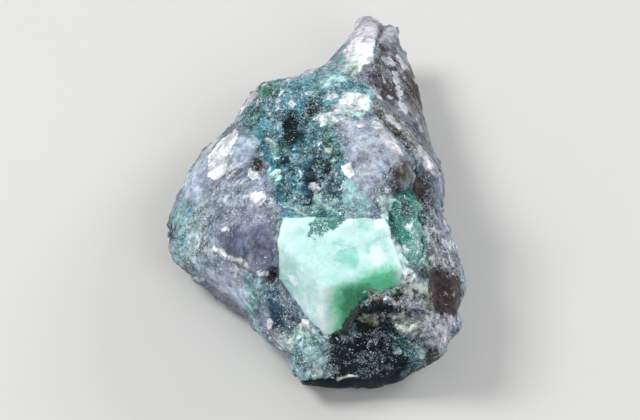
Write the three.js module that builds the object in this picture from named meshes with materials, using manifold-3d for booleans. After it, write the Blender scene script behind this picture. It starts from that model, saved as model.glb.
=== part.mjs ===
// A rough hand specimen: a broken six-sided beryl crystal and a smaller beryl blade, both grown into a lump of
// smoky quartz. Millimetres, +Z up. The specimen lies on the one flat face of its underside, with its horn away
// from the viewer. The origin is the middle of its footprint, on the surface that it lies on.
import * as THREE from "three";
import { ConvexHull } from "three/addons/math/ConvexHull.js";
import { ConvexGeometry } from "three/addons/geometries/ConvexGeometry.js";
import { ImprovedNoise } from "three/addons/math/ImprovedNoise.js";
import { mergeVertices } from "three/addons/utils/BufferGeometryUtils.js";
import Module from "manifold-3d";

const wasm = await Module();
wasm.setup();

// The front of the specimen is drawn as an eye sees it that looks down on it. A drawn point is
// [across, up, height]: across and up are real millimetres on a plane square to the sight line through AIM,
// and height is the point's height over the table.
const EYE_ELEVATION = THREE.MathUtils.degToRad(55);
const EYE_DISTANCE = 300;
const AIM = new THREE.Vector3(0, 0, 8);

const SOCKET_GAP = 0.3; // between a crystal and the quartz around it
const SOCKET_MOUTH = 5; // no quartz lies this far above a crystal
const SKIN_STEPS = 4; // each triangle between three landmarks is split into this many along a side
const SKIN_SOFTNESS = 0.03; // how far the skin rounds off a landmark, as a share of its distance from the core
const FLATNESS = 0.45; // 1 leaves flat facets between the landmarks, 0 a smooth skin
const CORE = new THREE.Vector3(0, 0, 7.2); // every landmark can be seen from here

// The outline of the specimen from that eye, clockwise from the horn's tip
const OUTLINE = {
  hornTip: [[4.4, 20.8, 8.7], [5.2, 21.3, 8.9], [6.2, 21.0, 9.0], [6.8, 20.4, 8.8], [7.8, 20.3, 7.9], [8.4, 19.4, 7.2]],
  hornRight: [[8.7, 18.6, 6.8], [9.5, 16.9, 6.6], [10.3, 14.9, 6.4], [10.9, 12.9, 6.3], [11.7, 9.6, 6.3]],
  rightFlank: [[12.1, 7.4, 6.4], [12.8, 5.9, 6.4], [13.8, 3.3, 6.4], [13.6, 1.5, 6.2], [13.3, -0.8, 6.0]],
  rightBulge: [[14.2, -2.1, 6.2], [15.0, -3.7, 6.2], [15.8, -6.5, 5.8], [16.2, -8.3, 5.6], [15.7, -10.3, 5.4]],
  knob: [[15.1, -11.7, 5.4], [15.6, -12.8, 5.6], [15.4, -13.7, 5.0], [14.6, -14.4, 4.6]],
  frontRight: [[14.1, -15.5, 4.2], [13.8, -16.4, 3.6], [12.2, -17.1, 3.2], [10.2, -17.9, 3.0]],
  front: [[8.5, -18.8, 2.8], [6.0, -19.2, 2.6], [3.3, -19.5, 2.4], [0.7, -19.7, 2.3], [-1.2, -19.4, 2.3]],
  frontLeft: [[-2.2, -18.9, 2.6], [-2.8, -17.4, 3.2], [-3.6, -15.9, 3.6], [-5.1, -14.8, 3.8]],
  leftHem: [[-7.0, -13.1, 4.0], [-8.1, -11.6, 4.2], [-9.2, -10.2, 4.4], [-10.7, -9.2, 4.4], [-12.4, -8.0, 4.4]],
  lobe: [[-13.6, -7.6, 4.2], [-15.0, -7.1, 4.0], [-16.1, -6.1, 4.2], [-16.6, -4.7, 4.4], [-17.0, -2.6, 4.6]],
  lobeTop: [[-16.6, -0.4, 5.0], [-15.8, 1.8, 5.4], [-14.8, 3.9, 6.0], [-13.8, 5.3, 6.6], [-12.1, 7.1, 7.4]],
  shoulder: [[-10.1, 8.9, 8.4], [-8.9, 10.6, 9.0], [-8.2, 12.3, 9.4], [-6.9, 13.5, 10.0], [-4.9, 14.3, 10.6]],
  saddle: [[-3.0, 14.6, 11.2], [-1.8, 15.2, 11.0], [0.2, 15.5, 11.0], [1.7, 16.4, 10.6]],
  hornLeft: [[2.7, 17.4, 10.0], [3.1, 18.7, 9.3], [3.9, 19.8, 8.9]],
};

// Ridges, hollows and facets of the side that the eye sees, each a line of drawn points
const RELIEF = {
  hornRidge: [[5.6, 20.2, 10.4], [5.9, 18.8, 11.5], [6.0, 17.0, 12.6], [5.8, 15.5, 13.4], [5.7, 14.2, 14.2]],
  hornLeftFace: [[4.5, 19.4, 10.3], [4.0, 18.0, 11.1], [3.3, 16.6, 11.6], [4.3, 15.4, 13.2]],
  hornRightFace: [[7.3, 19.2, 9.0], [8.2, 17.6, 8.8], [7.4, 16.2, 10.8], [9.3, 15.2, 8.9]],
  flankGroove: [[6.5, 14.0, 12.6], [7.1, 12.4, 12.8], [8.2, 10.9, 12.6], [9.6, 10.0, 11.6]],
  flankOuter: [[9.7, 12.8, 9.0], [10.4, 10.8, 9.4], [11.0, 8.8, 9.6]],
  flankStep: [[6.4, 11.2, 14.7], [7.7, 9.4, 14.7], [9.2, 8.2, 14.4], [10.3, 6.9, 13.9]],
  creamRidge: [[11.0, 6.4, 12.6], [12.0, 5.2, 12.2], [13.0, 3.7, 10.8], [12.4, 2.0, 11.4]],
  domeEdge: [[5.8, 12.4, 15.7], [6.5, 10.0, 16.8], [8.0, 7.9, 17.0], [9.5, 6.4, 16.6], [10.5, 5.2, 15.8]],
  domeLip: [[10.7, 4.2, 15.0], [9.9, 3.2, 15.6], [8.5, 2.5, 16.2], [7.3, 1.5, 16.6]],
  dome: [[3.2, 9.8, 17.2], [5.4, 7.4, 18.2], [7.6, 5.0, 17.8], [4.2, 4.8, 18.2], [5.2, 1.8, 17.4]],
  crevice: [[11.3, 3.2, 12.6], [10.9, 1.6, 12.4], [10.9, 0.0, 12.4]],
  saddleCrest: [[-8.0, 10.4, 11.6], [-6.6, 12.5, 12.1], [-4.4, 13.6, 12.7], [-1.0, 14.2, 13.1], [2.0, 15.0, 13.0]],
  tealPlateau: [[-5.6, 10.8, 13.7], [-3.4, 12.2, 14.2], [0.2, 12.8, 14.8], [3.6, 13.2, 15.2], [3.8, 11.6, 16.2]],
  tealHollow: [[-4.4, 8.6, 14.3], [-2.7, 9.5, 13.9], [-0.9, 10.9, 14.8], [-1.5, 7.6, 15.1], [-3.4, 6.4, 14.9]],
  tealRib: [[-5.2, 6.6, 14.8], [1.0, 10.2, 16.6], [0.7, 7.8, 16.9], [2.4, 5.4, 17.4]],
  darkPatch: [[-0.6, 4.8, 15.8], [-0.8, 2.2, 15.6], [1.8, 3.0, 16.6], [-2.8, 3.4, 15.3], [-3.2, 0.8, 15.2]],
  behindCrystal: [[-1.4, 0.4, 15.9], [0.6, 0.6, 16.3], [2.8, 0.4, 16.6], [4.8, 0.0, 16.7], [6.8, -0.1, 16.6]],
  lobeCrease: [[-12.4, 3.0, 9.2], [-10.2, 4.2, 11.6], [-8.0, 5.0, 13.0], [-6.6, 7.4, 13.4]],
  lobeFacet: [[-11.2, 6.4, 10.8], [-8.8, 8.0, 12.7], [-13.5, 4.3, 8.8]],
  lobeDome: [[-5.4, 3.6, 14.4], [-7.2, 1.6, 14.2], [-9.4, 0.0, 13.1], [-11.8, -0.8, 11.1], [-8.0, -3.2, 13.1]],
  lobeEdge: [[-15.3, 0.4, 7.0], [-14.3, -2.4, 8.4], [-15.5, -4.6, 6.6], [-13.2, -5.0, 8.2]],
  lobeLip: [[-4.4, 0.0, 15.3], [-5.0, -2.2, 15.1], [-5.2, -4.4, 14.4], [-5.9, -6.0, 13.5], [-8.0, -5.9, 12.1]],
  lobeBand: [[-11.0, -5.6, 10.0], [-8.6, -7.8, 9.2], [-11.4, -7.2, 7.4], [-14.0, -6.4, 5.8], [-8.2, -9.8, 7.2]],
  lipGap: [[-4.9, -7.0, 10.5], [-6.4, -7.2, 10.8]],
  besideCrystal: [[-4.3, -5.8, 12.0], [-3.4, -8.2, 10.6]],
  blueFacet: [[-4.2, -8.3, 10.7], [-6.4, -9.4, 9.2], [-3.1, -10.0, 9.9], [-5.8, -11.6, 7.7], [-2.4, -11.5, 9.0]],
  crystalFoot: [[-2.1, -12.9, 8.4], [-0.9, -13.6, 8.5], [0.5, -14.0, 8.6], [2.0, -13.2, 9.0], [3.4, -12.5, 9.5]],
  frontBeads: [[-6.8, -12.0, 5.8], [-5.2, -13.4, 6.1], [-4.0, -14.0, 6.6], [-3.4, -12.9, 7.2]],
  grainFacet: [[-2.7, -14.4, 6.9], [-0.7, -15.2, 7.4], [-2.2, -17.0, 5.0], [-1.9, -18.4, 4.0], [1.2, -18.1, 4.2]],
  darkFacet: [[1.8, -14.8, 8.0], [1.7, -16.8, 5.4], [4.6, -15.2, 7.2], [4.6, -17.8, 4.5], [7.0, -17.0, 5.2]],
  darkTop: [[5.4, -13.2, 9.0], [7.6, -13.2, 9.4], [7.8, -14.9, 7.6]],
  footRight: [[8.5, -15.3, 7.3], [9.6, -17.0, 5.0], [11.0, -16.0, 6.4], [12.4, -15.0, 8.0], [13.1, -16.2, 5.6]],
  lowerLedge: [[4.9, -12.2, 10.0], [6.6, -11.9, 10.8], [8.2, -11.5, 11.5], [10.2, -11.3, 11.9], [12.4, -11.4, 11.6]],
  lowerLedgeFace: [[8.6, -13.0, 10.3], [10.0, -13.8, 9.5], [11.4, -12.8, 10.6], [13.0, -13.6, 9.2], [14.2, -12.1, 9.4]],
  ledgeGroove: [[3.2, -11.6, 10.5], [5.0, -11.3, 10.7], [7.0, -11.1, 10.5], [9.6, -10.7, 10.8]],
  upperLedge: [[4.6, -10.2, 12.0], [5.6, -10.2, 12.2], [7.2, -9.9, 12.3], [9.2, -10.0, 12.5], [10.9, -9.6, 12.7], [11.7, -8.3, 13.2]],
  ledgePeaks: [[5.5, -8.8, 13.5], [7.0, -8.9, 12.8], [8.4, -8.3, 13.2], [9.8, -7.8, 13.7]],
  rightHollow: [[12.3, -9.4, 11.4], [13.5, -8.2, 10.3], [13.6, -10.2, 9.5], [12.7, -10.9, 10.6]],
  rightRidge: [[15.0, -7.2, 8.6], [15.1, -9.0, 8.2], [14.8, -11.0, 7.8], [14.7, -13.0, 7.2]],
  rightCrest: [[11.9, -1.2, 12.9], [12.3, -3.2, 12.9], [12.2, -5.2, 13.2], [11.7, -6.9, 13.5], [13.4, -5.8, 11.6]],
  rightShelf: [[12.8, 0.2, 10.0], [13.2, -2.2, 10.6], [14.2, -4.0, 9.6]],
  crystalSide: [[7.6, -1.6, 15.6], [8.3, -3.6, 15.2], [9.0, -5.6, 14.7], [9.8, -7.0, 14.0]],
};

// The side that the eye can't see, as [x, y, z] in the drawing's frame
const BACK = {
  backWall: [[-13.2, 8.4, 3.0], [-9.6, 14.0, 4.0], [-5.2, 17.8, 5.4], [-0.6, 19.9, 5.6], [3.4, 23.6, 4.6]],
  hornUnderside: [[6.0, 26.4, 4.6], [8.8, 23.4, 3.4], [10.8, 17.6, 2.4]],
  rightWall: [[12.4, 12.0, 2.4], [13.4, 6.0, 2.8], [12.6, 0.0, 2.2], [14.4, -5.0, 2.6], [14.4, -10.2, 2.4]],
  frontUndercut: [[12.0, -16.0, 1.0], [6.2, -18.6, 0.7], [0.2, -18.6, 0.6], [-3.6, -15.0, 1.2]],
  leftUndercut: [[-7.4, -10.6, 1.6], [-11.6, -7.4, 1.6], [-14.6, -3.0, 1.4], [-13.8, 2.6, 2.0]],
};

// Where the underside bulges down to the table. The cut at the table makes this the flat resting face.
const UNDERSIDE_HEIGHT = -0.9;
const UNDERSIDE = [
  [-9.0, 7.4], [-3.4, 13.0], [3.4, 16.4], [7.6, 14.6], [9.6, 7.0], [9.4, -1.0], [10.4, -8.4], [7.8, -13.6],
  [2.0, -14.8], [-3.6, -11.2], [-8.6, -6.4], [-11.0, -0.8], [-3.0, 4.0], [3.6, 8.0], [3.2, -4.0], [-3.6, -3.0],
];

// The large crystal: the corners of its broken end, and how far down it runs in the quartz
const CRYSTAL_END = [
  [-3.9, -0.8, 16.1], [7.1, -0.9, 16.5], [8.9, -6.3, 15.2], [0.4, -8.4, 14.9], [-4.5, -3.4, 15.7],
];
const CRYSTAL_AXIS = new THREE.Vector3(0.03, -0.33, -1).normalize();
const CRYSTAL_LENGTH = 7.5;
const STEP_DEPTH = 0.15; // the front part of the broken end lies this much lower
const STEP_LINE = [[-2.6, -6.2, 15.5], [6.6, -3.0, 16.0]];

// The small blade beside it: the corners of its roof-shaped top, and how far down it runs in the quartz
const BLADE_TOP = [
  [7.5, -0.4, 14.7], [8.6, 1.6, 14.9], [10.0, 0.9, 14.4], [9.8, -3.0, 14.3], [8.6, -2.9, 14.0],
  [9.7, -6.3, 13.6], [10.6, -6.5, 12.9], [11.3, -5.1, 12.6], [11.3, -2.6, 12.6], [10.6, 0.6, 13.2],
];
const BLADE_DEPTH = 4;

// Flat fractures of the hidden sides: the direction that each faces, and how much it takes off the lump there
const FRACTURES = [
  [[-0.62, 0.7, -0.35], 0.9],
  [[-0.3, 0.86, -0.42], 1.0],
  [[0.62, 0.72, -0.3], 0.7],
  [[0.94, 0.2, -0.28], 0.5],
  [[0.9, -0.3, -0.32], 0.4],
  [[0.55, -0.66, -0.5], 0.7],
  [[-0.1, -0.84, -0.53], 0.5],
  [[-0.7, -0.5, -0.5], 0.35],
];

// Colours and finish of the three pieces
const QUARTZ = { color: 0x8a929c, roughness: 0.55, metalness: 0 };
const PALE_BERYL = { color: 0xb4e8d8, roughness: 0.35, metalness: 0 };
const TEAL_BERYL = { color: 0x3f8a7c, roughness: 0.35, metalness: 0 };

const DOWN = new THREE.Vector3(0, 0, -1);
const SIGHT_RIGHT = new THREE.Vector3(1, 0, 0);
const SIGHT_UP = new THREE.Vector3(0, Math.sin(EYE_ELEVATION), Math.cos(EYE_ELEVATION));
const TO_EYE = new THREE.Vector3(0, -Math.cos(EYE_ELEVATION), Math.sin(EYE_ELEVATION));
const EYE = AIM.clone().addScaledVector(TO_EYE, EYE_DISTANCE);

// The real place of a drawn point: where its sight line comes down to its height
function place([across, up, height]) {
  const sight = AIM.clone().addScaledVector(SIGHT_RIGHT, across).addScaledVector(SIGHT_UP, up).sub(EYE);
  return EYE.clone().addScaledVector(sight, (height - EYE.z) / sight.z);
}

// Gauss's elimination with pivots: solves matrix * x = right
function solve(matrix, right) {
  const n = right.length;
  for (let c = 0; c < n; c++) {
    let best = c;
    for (let r = c + 1; r < n; r++) if (Math.abs(matrix[r][c]) > Math.abs(matrix[best][c])) best = r;
    [matrix[c], matrix[best]] = [matrix[best], matrix[c]];
    [right[c], right[best]] = [right[best], right[c]];
    for (let r = c + 1; r < n; r++) {
      const factor = matrix[r][c] / matrix[c][c];
      if (factor === 0) continue;
      for (let k = c; k < n; k++) matrix[r][k] -= factor * matrix[c][k];
      right[r] -= factor * right[c];
    }
  }
  const x = new Array(n).fill(0);
  for (let r = n - 1; r >= 0; r--) {
    let sum = right[r];
    for (let k = r + 1; k < n; k++) sum -= matrix[r][k] * x[k];
    x[r] = sum / matrix[r][r];
  }
  return x;
}

// A skin stretched over the landmarks: the distance from the core in any direction, exact at each landmark
function stretchSkin(directions, distances) {
  const n = directions.length;
  const pull = (a, b) => Math.hypot(a.distanceTo(b), SKIN_SOFTNESS);
  const matrix = directions.map((a) => [...directions.map((b) => pull(a, b)), 1]);
  matrix.push([...new Array(n).fill(1), 0]);
  const weights = solve(matrix, [...distances, 0]);
  return (direction) => directions.reduce((sum, d, i) => sum + weights[i] * pull(d, direction), weights[n]);
}

const noise = new ImprovedNoise();
const ROUGHNESS = [[4.2, 0.4], [1.6, 0.18]]; // [size of the lumps, their height]
function roughness(p) {
  return ROUGHNESS.reduce((sum, [size, lift]) => sum + lift * noise.noise(p.x / size, p.y / size, p.z / size), 0);
}

// The quartz lump before its sockets are cut: the landmarks' directions from the core are joined into a net by
// their convex hull, and each triangle of that net is split and laid on the skin.
function lumpGeometry() {
  const landmarks = [
    ...[...Object.values(OUTLINE), ...Object.values(RELIEF)].flat().map(place),
    ...Object.values(BACK).flat().map((p) => new THREE.Vector3(...p)),
    ...UNDERSIDE.map(([x, y]) => new THREE.Vector3(x, y, UNDERSIDE_HEIGHT)),
  ];
  const directions = landmarks.map((p) => p.clone().sub(CORE).normalize());
  const skin = stretchSkin(directions, landmarks.map((p) => p.distanceTo(CORE)));
  const positions = [];
  const corner = (a, b, c, i, j) => {
    const flat = new THREE.Vector3();
    [[a, SKIN_STEPS - i - j], [b, i], [c, j]].forEach(([p, share]) => flat.addScaledVector(p, share / SKIN_STEPS));
    const d = flat.clone().sub(CORE).normalize();
    const p = CORE.clone().addScaledVector(d, skin(d)).lerp(flat, FLATNESS);
    return p.addScaledVector(d, roughness(p));
  };
  for (const face of new ConvexHull().setFromPoints(directions).faces) {
    const [a, b, c] = [face.edge, face.edge.next, face.edge.next.next].map(
      (edge) => landmarks[directions.indexOf(edge.head().point)],
    );
    for (let i = 0; i < SKIN_STEPS; i++)
      for (let j = 0; j < SKIN_STEPS - i; j++) {
        positions.push(corner(a, b, c, i, j), corner(a, b, c, i + 1, j), corner(a, b, c, i, j + 1));
        if (i + j < SKIN_STEPS - 1)
          positions.push(corner(a, b, c, i + 1, j), corner(a, b, c, i + 1, j + 1), corner(a, b, c, i, j + 1));
      }
  }
  return new THREE.BufferGeometry().setFromPoints(positions);
}

// A closed geometry as a solid that can be joined and cut
function solidOf(geometry) {
  const bare = new THREE.BufferGeometry().setAttribute("position", geometry.getAttribute("position"));
  if (geometry.index) bare.setIndex(geometry.index);
  const merged = mergeVertices(bare, 1e-3);
  return new wasm.Manifold(
    new wasm.Mesh({
      numProp: 3,
      vertProperties: new Float32Array(merged.attributes.position.array),
      triVerts: new Uint32Array(merged.index.array),
    }),
  );
}

// The way back, with faceted normals
function geometryOf(solid) {
  const { vertProperties, triVerts } = solid.getMesh();
  const geometry = new THREE.BufferGeometry()
    .setAttribute("position", new THREE.BufferAttribute(vertProperties, 3))
    .setIndex(new THREE.BufferAttribute(triVerts, 1))
    .toNonIndexed();
  geometry.computeVertexNormals();
  return geometry;
}

// A convex solid on corner points
function convexSolid(points) {
  return solidOf(new ConvexGeometry(points));
}

// The same, grown outward by a gap on every side
function grownSolid(points, gap) {
  const ball = new THREE.IcosahedronGeometry(gap, 0).getAttribute("position");
  const steps = Array.from({ length: ball.count }, (_, i) => new THREE.Vector3().fromBufferAttribute(ball, i));
  return convexSolid(points.flatMap((p) => steps.map((step) => p.clone().add(step))));
}

// The solid with each fracture's slice taken off
function fractured(solid) {
  return FRACTURES.reduce((left, [facing, depth]) => {
    const inward = new THREE.Vector3(...facing).normalize().negate();
    const corners = left.getMesh().vertProperties;
    let furthest = Infinity;
    for (let i = 0; i < corners.length; i += 3) {
      furthest = Math.min(furthest, inward.dot(new THREE.Vector3().fromArray(corners, i)));
    }
    return left.trimByPlane(inward.toArray(), furthest + depth);
  }, solid);
}

// A cut can set a chip free: only the largest body is kept
function largestBody(solid) {
  return solid.decompose().reduce((best, body) => (body.volume() > best.volume() ? body : best));
}

// The corners of a prism with a given top, run out above it and down below it along its axis
function prism(top, axis, above, below) {
  return [-above, below].flatMap((run) => top.map((p) => p.clone().addScaledVector(axis, run)));
}

// The slab that is missing from the front part of the crystal's broken end
function stepCut() {
  const [from, to] = STEP_LINE.map(place);
  const along = to.clone().sub(from).normalize();
  const [a, b, c] = [CRYSTAL_END[0], CRYSTAL_END[1], CRYSTAL_END[3]].map(place);
  const up = b.clone().sub(a).cross(c.clone().sub(a)).normalize();
  if (up.z < 0) up.negate();
  const front = along.clone().cross(up).normalize();
  const size = { along: 20, front: 10, up: 2 };
  const box = new THREE.BoxGeometry(size.along, size.front, size.up);
  box.applyMatrix4(new THREE.Matrix4().makeBasis(along, front, along.clone().cross(front)));
  const middle = from.clone().add(to).multiplyScalar(0.5);
  const onEnd = middle.addScaledVector(up, a.clone().sub(middle).dot(up));
  onEnd.addScaledVector(front, size.front / 2).addScaledVector(up, size.up / 2 - STEP_DEPTH);
  box.translate(onEnd.x, onEnd.y, onEnd.z);
  return solidOf(box);
}

function mesh(name, solid, finish) {
  const made = new THREE.Mesh(geometryOf(solid), new THREE.MeshStandardMaterial(finish));
  made.name = name;
  return made;
}

// What the lump would have below the table
function belowTable() {
  const size = { side: 80, depth: 20 };
  return solidOf(new THREE.BoxGeometry(size.side, size.side, size.depth).translate(0, 0, -size.depth / 2));
}

const crystalTop = CRYSTAL_END.map(place);
const bladeTop = BLADE_TOP.map(place);
const quartz = largestBody(
  fractured(solidOf(lumpGeometry()).subtract(belowTable()))
    .subtract(grownSolid(prism(crystalTop, CRYSTAL_AXIS, SOCKET_MOUTH, CRYSTAL_LENGTH), SOCKET_GAP))
    .subtract(grownSolid(prism(bladeTop, DOWN, SOCKET_MOUTH, BLADE_DEPTH), SOCKET_GAP)),
);
const crystal = convexSolid(prism(crystalTop, CRYSTAL_AXIS, 0, CRYSTAL_LENGTH)).subtract(stepCut());
const blade = convexSolid(prism(bladeTop, DOWN, 0, BLADE_DEPTH));

const specimen = new THREE.Group();
specimen.add(
  mesh("smoky_quartz", quartz, QUARTZ),
  mesh("beryl_crystal", crystal, PALE_BERYL),
  mesh("beryl_blade", blade, TEAL_BERYL),
);
const middle = new THREE.Box3().setFromObject(specimen).getCenter(new THREE.Vector3());
specimen.position.set(-middle.x, -middle.y, 0);

export default specimen;
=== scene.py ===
"""A hand specimen of beryl: a broken mint-green crystal and a teal blade in a lump of smoky quartz."""

import math

import bmesh
import bpy
import numpy as np
from bpy.props import FloatProperty, FloatVectorProperty, IntProperty, PointerProperty
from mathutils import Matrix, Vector
from mathutils.bvhtree import BVHTree


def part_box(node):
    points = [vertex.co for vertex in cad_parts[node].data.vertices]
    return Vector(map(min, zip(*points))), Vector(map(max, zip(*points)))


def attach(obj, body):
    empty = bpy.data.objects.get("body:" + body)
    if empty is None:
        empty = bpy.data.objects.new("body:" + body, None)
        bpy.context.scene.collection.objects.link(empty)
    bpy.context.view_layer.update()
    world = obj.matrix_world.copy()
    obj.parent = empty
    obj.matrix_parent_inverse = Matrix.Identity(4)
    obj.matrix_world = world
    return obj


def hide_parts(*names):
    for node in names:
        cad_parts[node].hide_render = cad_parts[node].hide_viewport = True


bl_info = {
    "name": "Beryl crystal in smoky quartz",
    "version": (1, 0, 0),
    "blender": (4, 5, 0),
    "location": "3D View > Sidebar > Specimen",
    "description": "Dresses a hand specimen of beryl in smoky quartz and puts it on a pale table",
    "category": "Object",
}

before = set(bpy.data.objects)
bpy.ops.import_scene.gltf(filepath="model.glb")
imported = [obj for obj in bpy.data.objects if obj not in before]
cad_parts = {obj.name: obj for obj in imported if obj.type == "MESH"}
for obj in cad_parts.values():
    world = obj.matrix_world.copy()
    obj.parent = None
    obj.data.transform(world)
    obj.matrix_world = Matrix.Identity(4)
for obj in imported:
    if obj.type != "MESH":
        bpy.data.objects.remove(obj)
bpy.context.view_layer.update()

MM = 0.001

# The eye that the specimen is drawn for: where it aims, how high it stands and how far away it is.
# Lengths are in millimetres
AIM = np.array([0.5374, -3.8079, 8.0])
EYE_ELEVATION = math.radians(55)
EYE_DISTANCE = 300.0
VIEW_WIDTH = 70.4
SENSOR = 36.0
TO_EYE = np.array([0.0, -math.cos(EYE_ELEVATION), math.sin(EYE_ELEVATION)])
SIGHT_UP = np.array([0.0, math.sin(EYE_ELEVATION), math.cos(EYE_ELEVATION)])

# The way that streaks run in the quartz, and that growth lines run in the beryl
FIBRES = (0.42, -0.74, -0.52)
GROWTH = (0.028, -0.313, -0.949)


def linear(code):
    """A screen colour such as 8a929c as linear red, green and blue."""
    parts = [int(code[i : i + 2], 16) / 255 for i in (0, 2, 4)]
    return tuple(c / 12.92 if c < 0.04045 else ((c + 0.055) / 1.055) ** 2.4 for c in parts)


# Sizes and colours

# The minerals of the lump, in the order in which they lie over each other: name, what it is, colour. Some of
# their zones also hold painted light, as marked at the zones
MINERALS = [
    ("milk", "milky quartz", "a6b5c8"),
    ("lilac", "lilac-grey quartz", "69738a"),
    ("sage", "pale blue-green glass", "7fabae"),
    ("sea", "fine blue-green mineral", "2a6674"),
    ("steel", "steel-blue quartz", "2d4d61"),
    # Night is partly a blue-black mineral and partly painted shade in hollows, grooves, under the ledge and
    # on the down-facing foot
    ("night", "blue-black hollows", "0c2026"),
    ("brown", "clear brown quartz", "2c2022"),
    ("olive", "olive stain", "62604a"),
    ("moss", "green skin", "2c624f"),
    ("reef", "deep teal beryl", "1f6e60"),
    ("cream", "cream crust", "cbdccb"),
    ("mint", "pale beryl rind", "b2d8ce"),
    ("pearl", "neutral white quartz", "bdbdc2"),
    ("frost", "frosted white breaks", "e8e9ee"),
]
MASKS = [name for name, _, _ in MINERALS] + ["dust", "grainy", "smooth", "blocky"]


def length(name, about, millimetres):
    """A length setting, shown in Blender's own units."""
    return FloatProperty(name=name, description=about, default=millimetres * MM, unit="LENGTH", precision=6)


def amount(name, about, value, unit="NONE"):
    """A plain number, or a power in watts."""
    return FloatProperty(name=name, description=about, default=value, unit=unit)


def colour(name, about, code):
    """A colour setting."""
    return FloatVectorProperty(
        name=name, description=about, default=linear(code), min=0, max=1, size=3, subtype="COLOR"
    )


class QuartzSettings(bpy.types.PropertyGroup):
    """The lump of smoky quartz."""

    voxel: length("Mesh step", "Length of a face of the lump", 0.217)
    chip_size: length("Chip size", "Width of a broken chip", 2.3)
    chip_depth: length("Chip depth", "Height of the step between two chips", 0.24)
    flake_size: length("Splinter size", "Width of the smaller chips", 0.9)
    flake_depth: length("Splinter depth", "Height of the step between two splinters", 0.1)
    grain_size: length("Grain size", "Width of a grain in the sugary zones", 0.42)
    grain_depth: length("Grain depth", "Height of such a grain", 0.11)
    foot: length("Foot height", "Height over the table in which the relief fades out", 1.2)
    contact: length("Grown contact", "How far the quartz swells towards a crystal in it", 0.6)
    smoke: colour("Smoke", "Smoky quartz", "727f8e")
    powder: colour("Powder", "White crushed mineral", "e4ecee")
    # Spark colours the white grains on the dark minerals, which are partly painted glints
    spark: colour("Spark", "Blue-white grains on the dark minerals", "c9eaf3")


for _name, _about, _code in MINERALS:
    QuartzSettings.__annotations__[_name] = colour(_name.capitalize(), _about.capitalize(), _code)


class BerylSettings(bpy.types.PropertyGroup):
    """The two beryl pieces."""

    voxel: length("Mesh step", "Length of a face of a crystal", 0.11)
    wave: length("Wave", "Height of the slow waves on a broken face", 0.16)
    streak: length("Streak depth", "Depth of the growth lines along the crystal", 0.05)
    pale: colour("Pale", "Pale mint beryl", "c2e8e5")
    white: colour("White", "Bruised white beryl", "e8fbf9")
    sky: colour("Sky", "Bluish mint of the side", "c8eff1")
    cloud: colour("Cloud", "Deeper mint clouds", "84cfc0")
    leaf: colour("Leaf", "Clear green beryl", "5ccb99")
    deep: colour("Deep", "Deepest green", "1c7c50")
    teal: colour("Teal", "Deep teal of the blade", "167a6d")
    rind: colour("Rind", "Paler teal of the blade", "4f8f82")
    matrix: colour("Matrix", "Dark green matrix that clings to the broken end", "2c7a6c")
    # Painted shade: the dark of the ledge hollow laid over the lower end of the green face
    ledge_shade: colour("Ledge_shade", "Blackish crust under the broken end", "1d2a27")
    # A darker teal laid on the upper part of the blade
    dark_patch: colour("Dark_patch", "Darkest teal of the blade", "0a3f3e")


class CrumbSettings(bpy.types.PropertyGroup):
    """Loose-looking crumbs and flakes on the quartz."""

    density: amount("Crumbs per square millimetre", "Where powder lies thickest", 2.2)
    smallest: length("Smallest", "Smallest crumb", 0.05)
    largest: length("Largest", "Largest crumb", 0.12)
    seed: IntProperty(name="Seed", description="Which of the random layouts", default=4)


class StageSettings(bpy.types.PropertyGroup):
    """The table, the lights and the camera."""

    table: colour("Table", "Pale table", "d2d2cf")
    room: colour("Room light", "Soft light from all sides", "ebecee")
    room_strength: amount("Room strength", "Strength of the light from all sides", 0.52)
    key_power: amount("Key power", "Large soft light on the left", 1.25, "POWER")
    side_power: amount("Side power", "Soft light on the right", 0.7, "POWER")
    fill_power: amount("Fill power", "Weak light in front", 0.45, "POWER")


# Mesh tools


def new_object(name, mesh):
    """A shown object on a mesh, at the origin."""
    made = bpy.data.objects.new(name, mesh)
    bpy.context.scene.collection.objects.link(made)
    return made


def settle(obj):
    """Turns an object's modifiers into its plain mesh."""
    evaluated = obj.evaluated_get(bpy.context.evaluated_depsgraph_get())
    mesh = bpy.data.meshes.new_from_object(evaluated)
    obj.modifiers.clear()
    obj.data = mesh
    mesh.name = obj.name
    return mesh


def even_copy(name, node, voxel):
    """A closed copy of a CAD node with small even faces."""
    shape = bmesh.new()
    shape.from_mesh(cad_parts[node].data)
    bmesh.ops.remove_doubles(shape, verts=shape.verts, dist=0.002 * MM)
    mesh = bpy.data.meshes.new(name)
    shape.to_mesh(mesh)
    shape.free()
    made = new_object(name, mesh)
    even = made.modifiers.new("even faces", "REMESH")
    even.mode = "VOXEL"
    even.voxel_size = voxel
    settle(made)
    return made


def points_of(mesh):
    """The vertices of a mesh in millimetres."""
    flat = np.empty(len(mesh.vertices) * 3)
    mesh.vertices.foreach_get("co", flat)
    return flat.reshape(-1, 3) / MM


def set_points(mesh, points):
    """Puts the vertices of a mesh at these millimetres."""
    mesh.vertices.foreach_set("co", (points * MM).ravel())
    mesh.update()


def normals_of(mesh):
    """The direction that each vertex faces."""
    flat = np.empty(len(mesh.vertices) * 3)
    mesh.vertex_normals.foreach_get("vector", flat)
    return flat.reshape(-1, 3)


def edges_of(mesh):
    """The two ends of each edge."""
    flat = np.empty(len(mesh.edges) * 2, dtype=np.int32)
    mesh.edges.foreach_get("vertices", flat)
    return flat.reshape(-1, 2)


def smoothed(values, edges, rounds):
    """Values at the vertices, each averaged with its neighbours again and again."""
    count = len(values)
    ends = np.concatenate([edges[:, 0], edges[:, 1]])
    others = np.concatenate([edges[:, 1], edges[:, 0]])
    share_of = np.bincount(ends, minlength=count)
    for _ in range(rounds):
        sums = [np.bincount(ends, weights=column[others], minlength=count) for column in values.T]
        values = 0.5 * values + 0.5 * np.stack(sums, axis=1) / share_of[:, None]
    return values


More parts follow.
